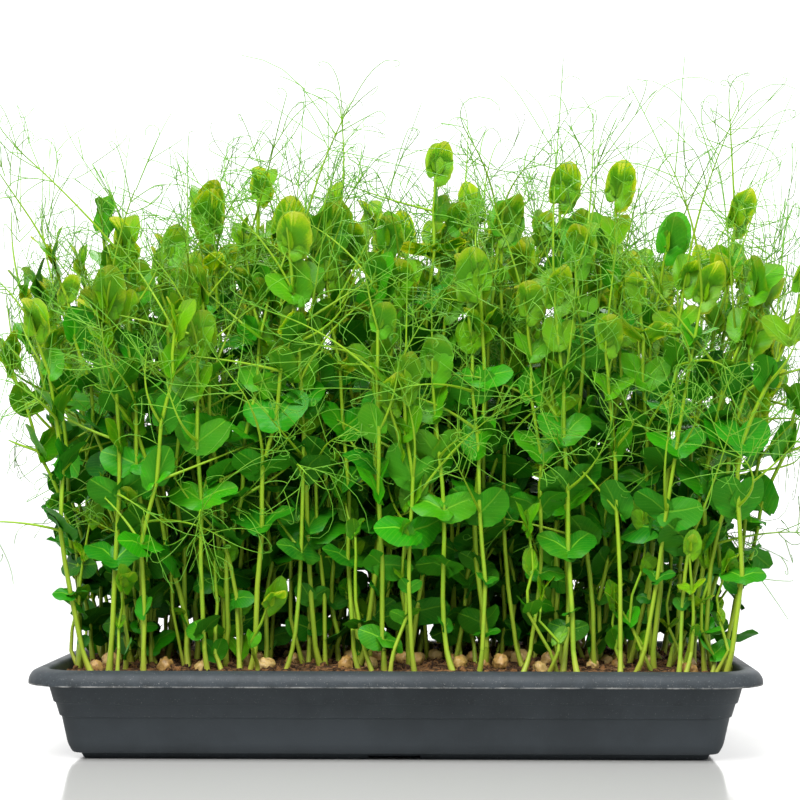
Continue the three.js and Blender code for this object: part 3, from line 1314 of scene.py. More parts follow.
@dataclass
class Shoot:
    """One pea shoot: a stem, its pairs of blades, its crown, and stalks that end in tendrils."""

    base: Vector
    tip: Vector
    facing: float
    seed: int
    room: Room
    growth: Growth
    stalks: int = 0
    stem: Stem = Stem()
    pairs: Pairs = Pairs()
    stalk: Stalk = Stalk()
    tendril: Tendril = Tendril()

    def __post_init__(self) -> None:
        """Prepares the shoot's own random numbers and the path of its stem."""
        self.chance = Chance(self.seed)
        self.tint = self.chance.random()
        self.vigour = self.spread(self.stem.vigour)
        self.foot_radius = self.growth.foot_radius * self.spread(self.stem.stoutness)
        self.nodes: list[Vector] = []
        self.path = self.stem_path()

    def spread(self, limits: Range) -> float:
        """A random number between two limits."""
        return self.chance.uniform(*limits)

    def angle(self, limits: Range) -> float:
        """A random angle between two limits in degrees, in radians."""
        return math.radians(self.spread(limits))

    def any_turn(self) -> float:
        """A random turn all the way round, in radians."""
        return self.spread((0, math.tau))

    def share(self, middle: float, deviation: float) -> float:
        """A random number near a middle, from 0 to 1."""
        return min(max(self.chance.gauss(middle, deviation), 0.0), 1.0)

    def stem_path(self) -> Path:
        """Lays out the stem, bent at its foot and stepping from side to side at its nodes.

        Returns:
            The path from its root in the compost to its tip. The nodes are kept apart too.
        """
        stem, chance = self.stem, self.chance
        length = (self.tip - self.base).length
        middle = self.base.lerp(self.tip, stem.lean)
        middle.z = 0.5 * (self.base.z + self.tip.z)
        middle += Vector((chance.gauss(0, stem.bow), chance.gauss(0, stem.bow), 0))
        foot = heading(self.any_turn(), 0) * chance.gauss(0, stem.foot_bend)
        side = heading(self.facing, 0)
        sway = heading(self.any_turn(), 0) * chance.gauss(0, stem.sway)
        phase = self.any_turn()

        def point(below: float, step: float) -> Vector:
            """A point of the stem.

            Args:
                below: its distance below the tip.
                step: how far it is moved to the side.

            Returns:
                The point.
            """
            share = 1 - below / length
            bow = math.sin(phase + stem.sway_turn * share) * math.sin(math.pi * share)
            bent = foot * math.exp(-(length - below) / stem.foot_height)
            return bezier(self.base, middle, self.tip, share) + sway * bow + bent + side * step

        path = [self.tip.copy()]
        below = 0.0
        for k, gap in enumerate(stem.gaps):
            crowded = min(max(k - stem.crowded_from, 0) / 3, 1.0)
            scale = self.vigour * (1 - self.growth.crowding * crowded)
            gap = gap * MM * scale
            if below + gap > length - self.growth.bare_foot:
                break
            path.append(point(below + gap / 2, 0.0))
            below += gap
            step = stem.zigzag * (1 if k % 2 else -1) * self.spread(stem.zigzags)
            path.append(point(below, step))
            self.nodes.append(path[-1])
        for above in stem.foot_points:
            if length - above > below + stem.closest:
                path.append(point(length - above, 0.0))
        path.append(path[-1] + foot * 0.25 - Vector((0, 0, stem.root_depth)))
        return path[::-1]

    def grow(self, organs: Organs) -> None:
        """Adds everything that the shoot is made of.

        Args:
            organs: the gathered strands and places of its block.
        """
        stem, pairs, stalk = self.stem, self.pairs, self.stalk
        full, slim = self.foot_radius, self.growth.tip_radius
        foot, rest = self.path[: stem.pale_points], self.path[stem.pale_points - 1 :]
        organs.haulm.add(foot, (full * stem.flare, full), (0.0, stem.pale_age), self.tint)
        ages = (stem.pale_age, self.spread(stem.top_ages))
        organs.haulm.add(rest, (full, slim), ages, self.tint)
        self.grow_crown(organs)
        low_size = self.growth.low_size
        for k, point in enumerate(self.nodes):
            side = self.facing + (0.0 if k % 2 else math.pi)
            side += self.chance.gauss(0, pairs.turn_spread)
            low = point.z - self.base.z < pairs.low_height
            if not low or self.chance.random() < low_size + pairs.low_bonus:
                size = min(low_size * self.spread(pairs.low_sizes), 1.0) if low else 1.0
                self.grow_pair(organs, point, side, k, size)
            if k < self.stalks and not low:
                size = TIERS[k].stalk * self.spread(stalk.sizes)
                rise = self.angle(stalk.rises)
                self.grow_stalk(organs, point, side, rise, size, 0.5 * (full + slim))

    def grow_blade(
        self,
        organs: Organs,
        point: Vector,
        along: Vector,
        lobe: Vector,
        kind: tuple[Detail, Pose, int],
        length: float,
        age: float,
    ) -> None:
        """Sets one blade.

        Args:
            organs: where it is gathered.
            point: the foot of its midrib.
            along: the direction of its midrib.
            lobe: the direction, roughly, of its lobed margin.
            kind: how finely it is made, how it is held, and 1 for a right or -1 for a left blade.
            length: its length.
            age: 0 for an old leaf and 1 for a young one.
        """
        pairs = self.pairs
        turn = turned(lobe * kind[2], along)
        turn = turn @ Quaternion((0, 1, 0), self.chance.gauss(0, pairs.tilt_spread))
        width = length * self.spread(pairs.widths) * (pairs.broad - pairs.young_slimness * age)
        size = Vector((width, length, length * self.spread(pairs.waves)))
        tint = self.share(self.tint, pairs.tint_spread)
        organs.blades.add(self.room.keep(point), turn, size, BLADE_KINDS.index(kind), age, tint)

    def grow_pair(
        self, organs: Organs, point: Vector, azimuth: float, node: int, share: float
    ) -> None:
        """Sets an open pair of blades that clasps the stem, one to each side of its stalk.

        Args:
            organs: where they are gathered.
            point: the place on the stem.
            azimuth: the side that the stalk leaves on.
            node: the number of the pair, counted from the top.
            share: the blades' size against a full one.
        """
        pairs = self.pairs
        tier = TIERS[min(node, len(TIERS) - 1)]
        across = heading(azimuth + math.pi / 2, 0)
        out = heading(azimuth, self.angle(pairs.outward))
        raised = math.radians(tier.raised + self.chance.gauss(0, pairs.raised_spread))
        young, grown = (Pose.OPEN, Pose.CUPPED), (Pose.OPEN, Pose.OPEN, Pose.DROOPED)
        pose = self.chance.choice(young if node < 2 else grown)
        detail = self.growth.blades if share > pairs.fine_from else Detail.PLAIN
        length = self.growth.blade_length * (tier.blade * share * self.spread(pairs.sizes))
        age = self.share(tier.age, pairs.age_spread)
        for side in (1, -1):
            lift = raised + self.chance.gauss(0, pairs.lift_spread)
            along = -side * math.cos(lift) * across + math.sin(lift) * out.lerp(UP, 0.5)
            foot = point - out * pairs.overlap
            self.grow_blade(organs, foot, along, -out, (detail, pose, side), length, age)

    def grow_crown(self, organs: Organs) -> None:
        """Sets the young pair at the tip, the bud inside it and the stalk that rises from it.

        Args:
            organs: where they are gathered.
        """
        pairs, stalk = self.pairs, self.stalk
        top, upward = self.path[-1], (self.path[-1] - self.path[-2]).normalized()
        across = heading(self.facing + math.pi / 2, 0)
        out = heading(self.facing, 0)
        age = self.share(pairs.crown_age, pairs.crown_age_spread)
        length = self.growth.blade_length * self.spread(pairs.crown_sizes)
        opening = self.angle(pairs.crown_opening)
        for side in (1, -1):
            along = upward * math.cos(opening) - out * side * math.sin(opening)
            along += across * pairs.crown_lean
            kind = (self.growth.crown, Pose.OPEN, side)
            size = length * self.spread(pairs.crown_halves)
            lobe = across - upward * pairs.crown_twist
            self.grow_blade(organs, top, along, lobe, kind, size, age)
        for side in (1, -1):
            along = upward - out * side * pairs.bud_lean - across * pairs.bud_twist
            kind = (Detail.PLAIN, Pose.FOLDED, side)
            size = length * self.spread(pairs.bud_sizes)
            foot = top + upward * pairs.bud_height
            self.grow_blade(organs, foot, along, across, kind, size, 1.0)
        if self.chance.random() < self.growth.reaching:
            rise = self.angle(stalk.crown_rises)
            azimuth = self.facing + self.chance.gauss(0, pairs.turn_spread)
            size = self.spread(stalk.crown_sizes)
            self.grow_stalk(organs, top, azimuth, rise, size, self.growth.tip_radius)

    def grow_stalk(
        self,
        organs: Organs,
        start: Vector,
        azimuth: float,
        rise: float,
        size: float,
        radius: float,
    ) -> None:
        """Grows a leaf stalk that ends in pairs of branched tendrils.

        Args:
            organs: where it is gathered.
            start: the place on the stem.
            azimuth: the side that it leaves on.
            rise: its climb above level, in radians.
            size: its size against a full one.
            radius: the radius of the stem there.
        """
        stalk = self.stalk
        length = stalk.length * size
        turn = azimuth + self.chance.gauss(0, stalk.turn_spread)
        bowed = heading(turn, rise + self.spread(stalk.bends))
        middle = start + heading(azimuth, rise) * length * 0.5
        end = middle + bowed * length * 0.5
        path = [
            self.room.keep(bezier(start, middle, end, k / stalk.pieces))
            for k in range(stalk.pieces + 1)
        ]
        thick = radius * (stalk.thickness[0] + stalk.thickness[1] * size)
        organs.haulm.add(path[: stalk.bare + 1], (thick, stalk.end_radius), stalk.ages, self.tint)
        organs.tendrils.add(path[stalk.bare :], stalk.rib_radii, stalk.rib_ages, self.tint)
        swivel = self.any_turn()
        for k in range(stalk.bare, stalk.pieces):
            onward = (path[k + 1] - path[k]).normalized()
            swivel += self.spread(stalk.swivels)
            outward = Quaternion(onward, swivel) @ onward.orthogonal()
            for side in (1, -1)[: self.chance.choice((1, 2, 2))]:
                angle = self.angle(stalk.tendril_angles)
                aim = onward * math.cos(angle) + outward * side * math.sin(angle)
                share = size * self.spread(stalk.tendril_sizes)
                self.grow_tendril(organs.tendrils, path[k], aim, share, 1)
        share = size * self.spread(stalk.last_sizes)
        self.grow_tendril(organs.tendrils, path[-1], onward, share, 1)

    def grow_tendril(
        self, strands: Strands, start: Vector, aim: Vector, size: float, forks: int
    ) -> None:
        """Grows a tendril: nearly straight at first, then curving, often with a hooked end.

        Args:
            strands: where it is gathered.
            start: its foot.
            aim: the direction that it leaves in.
            size: its length against a full one.
            forks: how many times it may branch.
        """
        form, chance = self.tendril, self.chance
        length = form.length * size
        axis = Quaternion(aim, self.any_turn()) @ aim.orthogonal()
        bend = chance.gauss(0, form.bend)
        hook = 0.0
        if chance.random() < form.hooked:
            hook = math.copysign(self.spread(form.hooks), bend)
        steps = min(5 + round(1.1 * abs(bend) + 1.6 * abs(hook)), form.most_steps)
        path = [start]
        direction = aim.normalized()
        for k in range(steps):
            share = (k + 0.5) / steps
            hooking = hook if share > form.straight else 0.0
            turn = bend / steps * 2 * share + hooking / steps / (1 - form.straight)
            direction = Quaternion(axis, turn) @ direction
            stretch = form.tightened if hooking else 1.0
            path.append(path[-1] + direction * (length / steps * stretch))
        kept = [self.room.keep(p) for p in path]
        thick = form.radius if forks else form.forked_radius
        strands.add(kept, (thick, form.end_radius), form.ages, self.tint)
        if not forks:
            return
        for k in chance.sample(form.fork_points, chance.choice(form.forks)):
            onward = (path[k + 1] - path[k]).normalized()
            angle = self.angle(form.fork_angles)
            outward = Quaternion(onward, self.any_turn()) @ onward.orthogonal()
            branch = onward * math.cos(angle) + outward * math.sin(angle)
            share = size * self.spread(form.fork_sizes)
            self.grow_tendril(strands, path[k], branch, share, forks - 1)


# ---------------------------------------------------------------- the stand


@dataclass(frozen=True)
class Leader:
    """A shoot that is a solid too: its name, base, tip and facing, in millimetres and degrees."""

    name: str
    base: tuple[float, float]
    tip: tuple[float, float, float]
    facing: float
    pairs: int = 0

    def nodes(self) -> list[str]:
        """The names of its solids.

        Returns:
            One name for the whole, or that of its stem and then those of its pairs.
        """
        whole = f"shoot_{self.name}"
        if not self.pairs:
            return [whole]
        return [f"{whole}_stem"] + [f"{whole}_stipules_{k + 1}" for k in range(self.pairs)]


ROW_LINES = (-68 * MM, 40 * MM)
COLUMN_LINES = (-60 * MM, 60 * MM)
LEADERS = [
    Leader("front_1", (-168, -88), (-187, -104, 222), 250, 4),
    Leader("front_2", (-150, -90), (-152, -94, 236), 285, 4),
    Leader("front_3", (-100, -90), (-102, -104, 214), 262, 4),
    Leader("front_4", (-51, -90), (-50, -86, 270), 275, 5),
    Leader("front_5", (24, -92), (20, -98, 200), 268),
    Leader("front_6", (-26, -86), (-37, -72, 252), 300),
    Leader("front_7", (76, -90), (70, -92, 232), 245),
    Leader("front_8", (118, -90), (110, -102, 214), 280),
    Leader("front_9", (132, -84), (152, -86, 246), 300),
    Leader("front_10", (158, -86), (192, -98, 236), 330),
    Leader("inner_1", (-84, -48), (-76, -42, 300), 240),
    Leader("inner_2", (16, -34), (21, -42, 312), 300),
    Leader("inner_3", (48, -58), (56, -64, 276), 255),
    Leader("inner_4", (86, -16), (90, -20, 300), 280),
    Leader("inner_5", (112, -46), (119, -52, 297), 265),
    Leader("inner_6", (154, -44), (183, -56, 282), 290),
    Leader("inner_7", (-146, -42), (-160, -54, 282), 230),
    Leader("inner_8", (-44, -54), (-38, -58, 274), 280),
    Leader("inner_9", (-98, 12), (-106, 2, 292), 130),
    Leader("inner_10", (42, 22), (44, 34, 296), 60),
    Leader("left_1", (-160, 34), (-200, 44, 246), 190),
    Leader("right_1", (164, 18), (204, 26, 240), 350),
    Leader("back_1", (-124, 86), (-132, 108, 264), 110),
    Leader("back_2", (-66, 88), (-68, 112, 282), 80),
    Leader("back_3", (-4, 88), (2, 110, 288), 95),
    Leader("back_4", (60, 88), (68, 108, 276), 70),
    Leader("back_5", (118, 86), (128, 106, 280), 100),
    Leader("back_6", (156, 72), (182, 88, 268), 45),
]


class Block(Enum):
    """The nine blocks that the stand is grown in, by row and column."""

    FRONT_LEFT = (0, 0)
    FRONT_MIDDLE = (0, 1)
    FRONT_RIGHT = (0, 2)
    INNER_LEFT = (1, 0)
    INNER_MIDDLE = (1, 1)
    INNER_RIGHT = (1, 2)
    BACK_LEFT = (2, 0)
    BACK_MIDDLE = (2, 1)
    BACK_RIGHT = (2, 2)

    @staticmethod
    def holding(place: Vector) -> "Block":
        """The block that a place of the compost belongs to.

        Args:
            place: the place.

        Returns:
            The block between the lines round it.
        """
        row = sum(place.y > line for line in ROW_LINES)
        column = sum(place.x > line for line in COLUMN_LINES)
        return Block((row, column))


@dataclass
class Stand:
    """All the shoots: the leading ones of the solids, and those that fill the space between.

    The margin round them and the sizes of side shoots are in millimetres.
    """

    soil_top: float
    box: tuple[Vector, Vector]
    seed: int = 11
    half_length: float = 171 * MM
    half_width: float = 97 * MM
    spacing: float = 20.4 * MM
    clearance: float = 12 * MM
    jitter: float = 4.2 * MM
    margin: tuple[float, float, float] = (6, 6, 4)
    front_line: float = -60 * MM
    back_line: float = 76 * MM
    side_line: float = 152 * MM
    tallest: float = 290 * MM
    edge_drop: float = 40 * MM
    unevenness: float = 36 * MM
    splay: Range = (33 * MM, 17 * MM)
    drift: float = 5 * MM
    sway: Range = (15 * MM, 11 * MM)
    edge_share: float = 0.6
    edge_turn: float = 0.8
    shoot_seeds: int = 1000
    side_seeds: int = 3000
    side_shoots: int = 90
    side_distances: Range = (3.5, 8)
    side_leans: Range = (4, 22)
    side_heights: Range = (34, 104)
    organs: dict[Block, Organs] = field(
        default_factory=lambda: {block: Organs() for block in Block}
    )

    def grow(self) -> None:
        """Grows every shoot into the strands and places of its block."""
        chance = Chance(self.seed)
        margin = Vector(self.margin) * MM
        room = Room(self.box[0] + margin, self.box[1] - margin)
        starts: list[tuple[Vector, Vector, float]] = []
        for leader in LEADERS:
            base = Vector((*leader.base, 0)) * MM + Vector((0, 0, self.soil_top))
            starts.append((base, Vector(leader.tip) * MM, math.radians(leader.facing)))
        starts += self.fillers(chance, [base for base, _, _ in starts])
        for number, (base, tip, facing) in enumerate(starts):
            growth = self.habit(base).value
            stalks = growth.stalks[0] if len(growth.stalks) == 1 else chance.choice(growth.stalks)
            seed = self.seed * self.shoot_seeds + number
            shoot = Shoot(base, tip, facing, seed, room, growth, stalks)
            shoot.grow(self.organs[Block.holding(base)])
        for number in range(self.side_shoots):
            seed = self.seed * self.side_seeds + number
            shoot = self.side_shoot(chance, chance.choice(starts)[0], seed, room)
            shoot.grow(self.organs[Block.holding(shoot.base)])
        LOG.info("grown %d shoots and %d side shoots", len(starts), self.side_shoots)

    def habit(self, base: Vector) -> Habit:
        """How a full shoot grows.

        Args:
            base: where it stands.

        Returns:
            The habit of the front, of the other sides or of the inside of the stand.
        """
        if base.y < self.front_line:
            return Habit.FRONT
        outer = base.y > self.back_line or abs(base.x) > self.side_line
        return Habit.OUTER if outer else Habit.INNER

    def side_shoot(self, chance: Chance, beside: Vector, seed: int, room: Room) -> Shoot:
        """A short side shoot from the foot of a full one.

        Args:
            chance: the random numbers.
            beside: the foot of the full shoot.
            seed: the side shoot's own seed.
            room: what it stays inside.

        Returns:
            The side shoot.
        """
        facing = chance.uniform(0, math.tau)
        out = heading(facing, 0)
        base = beside + out * chance.uniform(*self.side_distances) * MM
        lean = out * chance.uniform(*self.side_leans) * MM
        tip = base + lean + Vector((0, 0, chance.uniform(*self.side_heights) * MM))
        return Shoot(base, tip, facing, seed, room, Habit.SIDE.value)

    def fillers(self, chance: Chance, taken: list[Vector]) -> list[tuple[Vector, Vector, float]]:
        """Places shoots between those that are there.

        Args:
            chance: the random numbers.
            taken: the bases of the shoots that are there.

        Returns:
            The base, tip and facing of each one.
        """
        made: list[tuple[Vector, Vector, float]] = []
        half = (self.half_length, self.half_width)
        columns, rows = (round(2 * side / self.spacing) for side in half)
        for row, column in itertools.product(range(rows + 1), range(columns + 1)):
            across, deep = 2 * column / columns - 1, 2 * row / rows - 1
            base = Vector((across * half[0], deep * half[1], self.soil_top))
            base += Vector((chance.gauss(0, self.jitter), chance.gauss(0, self.jitter), 0))
            for k in range(2):
                base[k] = min(max(base[k], -half[k]), half[k])
            edge = max(abs(across) ** 3, abs(deep) ** 3)
            splay = Vector((across**3 * self.splay[0] - self.drift, deep**3 * self.splay[1], 0))
            sway = Vector((chance.gauss(0, self.sway[0]), chance.gauss(0, self.sway[1]), 0))
            tip = base + splay + sway
            tip.z = self.tallest - edge * self.edge_drop - abs(chance.gauss(0, self.unevenness))
            facing = chance.uniform(0, math.tau)
            if edge > self.edge_share:
                facing = math.atan2(deep**3, across**3) + chance.gauss(0, self.edge_turn)
            if min((base - other).length for other in taken) > self.clearance:
                made.append((base, tip, facing))
        return made

    def dress(self, sweep: Growing, setting: Growing) -> None:
        """Makes the pieces of every block and hides the solids that they stand for.

        Args:
            sweep: the tree that sweeps tubes.
            setting: the tree that sets blades.
        """
        stem, tendril = Haulm("pea_stem").material(), Haulm("pea_tendril").material()
        blade = LeafBlade().material()
        templates = blade_templates()
        for block, organs in self.organs.items():
            name = block.name.lower()
            leaders = [n for n in LEADERS if Block.holding(Vector((*n.base, 0)) * MM) is block]
            whole = [node for n in leaders if not n.pairs for node in n.nodes()]
            stems = [n.nodes()[0] for n in leaders if n.pairs]
            pairs = [node for n in leaders if n.pairs for node in n.nodes()[1:]]
            stemmed = whole + stems
            finish(organs.haulm.sweep(f"stems_{name}", sweep, 6, stem), "stem", stemmed)
            finish(organs.tendrils.sweep(f"tendrils_{name}", sweep, 3, tendril), "stem", stemmed)
            made = organs.blades.set_out(f"stipules_{name}", setting, templates, blade)
            finish(made, "leaf", whole + pairs)


def finish(piece: Object, slot: str, nodes: Iterable[str] = ()) -> None:
    """Fixes a piece to the body, hides the solids that it stands for, and logs its triangles.

    Args:
        piece: the piece.
        slot: not used.
        nodes: the solids' names.
    """
    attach(piece, ROOT)
    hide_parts(*nodes)
    triangles = sum(len(face.vertices) - 2 for face in piece.data.polygons)
    LOG.info("%s: %d triangles", piece.name, triangles)


# ---------------------------------------------------------------- tray


@dataclass(frozen=True)
class Corner:
    """A corner of the tray's section, in millimetres, with its wear from 0 to 1: scuffs, and a
    darker tone that is partly painted shade.

    The inset is measured inwards from the edge of the rim, and the height from the floor.
    """

    inset: float
    height: float
    rounding: float = 0.0
    wear: float = 0.0


@dataclass(frozen=True)
class Rounded:
    """A rectangle with rounded corners, seen from above, which shrinks by an inset."""

    length: float
    width: float
    radius: float
    arc_steps: int = 14
    side_steps: int = 10
    least_radius: float = 0.05 * MM

    def outline(self, inset: float) -> list[tuple[float, float]]:
        """The points of the outline, anticlockwise from the far end of the right side.

        Args:
            inset: how far it lies inside the full rectangle.

        Returns:
            The points, as many at every inset.
        """
        x, y = self.length / 2 - self.radius, self.width / 2 - self.radius
        radius = max(self.radius - inset, self.least_radius)
        shrink = max(inset - self.radius, 0.0)
        made: list[tuple[float, float]] = []
        for k, (across, deep) in enumerate(((x, y), (-x, y), (-x, -y), (x, -y))):
            across -= math.copysign(shrink, across)
            deep -= math.copysign(shrink, deep)
            for step in range(self.arc_steps + 1):
                angle = (k + step / self.arc_steps) * math.pi / 2
                made.append((across + radius * math.cos(angle), deep + radius * math.sin(angle)))
            last = made[-1]
            goal = (-last[0], last[1]) if k in (0, 2) else (last[0], -last[1])
            for step in range(1, self.side_steps):
                share = step / self.side_steps
                made.append(tuple(a + (b - a) * share for a, b in zip(last, goal)))
        return made


@dataclass
class Tray:
    """The shallow moulded tray, lofted from its section."""

    length: float = 385 * MM
    width: float = 240 * MM
    radius: float = 32 * MM
    notch_half: float = 13.5 * MM
    notch_height: float = 1.6 * MM
    notch_inset: float = 37.5 * MM
    notch_slope: float = 0.2 * MM
    curve_steps: int = 4
    curve_reach: float = 0.48
    least_rounding: float = 0.05
    # The fourth number of a corner is its wear: scuffs, and a darker tone that is partly painted
    # shade.
    section: tuple[Corner, ...] = (
        Corner(37.8, 0.0),
        Corner(37.4, 0.0),
        Corner(29.5, 0.0, 0.5, 0.4),
        Corner(27.6, 3.2, 0.7, 0.2),
        Corner(23.4, 3.3, 1.0),
        Corner(20.9, 7.4, 3.4),
        Corner(17.5, 22.4, 0.5),
        Corner(16.5, 22.5, 0.6, 0.35),
        Corner(14.3, 29.6, 0.5),
        Corner(13.3, 29.7, 0.6, 0.35),
        Corner(10.4, 39.4, 0.3),
        Corner(10.0, 43.0, 1.0),
        Corner(2.6, 42.6, 1.0),
        Corner(1.9, 39.5, 0.3, 0.6),
        Corner(0.1, 39.3, 0.5, 1.0),
        Corner(0.25, 42.6, 2.2, 0.5),
        Corner(2.6, 46.4, 3.4, 0.35),
        Corner(7.4, 47.5, 2.6, 0.7),
        Corner(11.4, 47.3, 2.2, 0.7),
        Corner(13.2, 42.0, 2.4),
        Corner(22.9, 9.2, 2.0),
        Corner(24.2, 5.2, 3.4),
        Corner(60.0, 5.2),
    )

    def profile(self) -> list[Corner]:
        """Rounds off the corners of the section.

        Returns:
            The corners of the finer section.
        """
        made: list[Corner] = [self.section[0]]
        for before, corner, after in zip(self.section, self.section[1:], self.section[2:]):
            here = Vector((corner.inset, corner.height))
            arms = [Vector((c.inset, c.height)) - here for c in (before, after)]
            reach = min(corner.rounding, *(self.curve_reach * arm.length for arm in arms))
            ends = [(here + arm.normalized() * reach).to_3d() for arm in arms]
            steps = self.curve_steps if reach > self.least_rounding else 0
            for step in range(steps + 1):
                point = bezier(ends[0], here.to_3d(), ends[1], step / steps if steps else 0.5)
                made.append(Corner(point.x, point.y, 0.0, corner.wear))
        return [*made, self.section[-1]]

    def build(self) -> None:
        """Builds the shell, closed by a face on each side of its floor."""
        shape = Rounded(self.length, self.width, self.radius)
        rings: list[list[Vector]] = []
        wear_and_shade_values: list[float] = []
        for corner in self.profile():
            ring: list[Vector] = []
            for x, y in self.notched(shape.outline(corner.inset * MM)):
                height = corner.height * MM
                if abs(x) <= self.notch_half and corner.inset * MM < self.notch_inset:
                    height = max(height, self.notch_height)
                ring.append(Vector((x, y, height)))
            rings.append(ring)
            wear_and_shade_values += [corner.wear] * len(ring)
        made = lofted("tray_shell", rings)
        fill_attribute(made.data, "wear", "FLOAT", wear_and_shade_values)
        made.data.materials.append(TrayPlastic().material())
        finish(made, "tray_plastic", ["tray"])

    def notched(self, outline: list[tuple[float, float]]) -> list[tuple[float, float]]:
        """Adds the corners of the drain notches to the long sides of an outline.

        Args:
            outline: the points of the outline.

        Returns:
            The points with those of the notches among them.
        """
        ends = (self.notch_half, self.notch_half + self.notch_slope)
        made: list[tuple[float, float]] = []
        for here, after in zip(outline, outline[1:] + outline[:1]):
            made.append(here)
            if not math.isclose(here[1], after[1], abs_tol=1e-7):
                continue
            low, high = sorted((here[0], after[0]))
            between = sorted(side * x for side in (1, -1) for x in ends if low < side * x < high)
            made += [(x, here[1]) for x in (between if low == here[0] else reversed(between))]
        return made


def lofted(name: str, rings: list[list[Vector]]) -> Object:
    """A closed smooth mesh through rings of points, with a face on the first and on the last.

    Args:
        name: the object's name.
        rings: the rings, of as many points each, anticlockwise from above, from the underside
            outwards and over to the inside.

    Returns:
        The object.
    """
    around = len(rings[0])
    faces: list[tuple[int, ...]] = [tuple(range(around))[::-1]]
    top = (len(rings) - 1) * around
    for low in range(0, top, around):
        for k in range(around):
            after = (k + 1) % around
            faces.append((low + k, low + after, low + around + after, low + around + k))
    faces.append(tuple(range(top, top + around)))
    mesh = bpy.data.meshes.new(name)
    mesh.from_pydata([tuple(p) for ring in rings for p in ring], [], faces)
    mesh.shade_smooth()
    return shown(name, mesh)


# ---------------------------------------------------------------- compost and peas


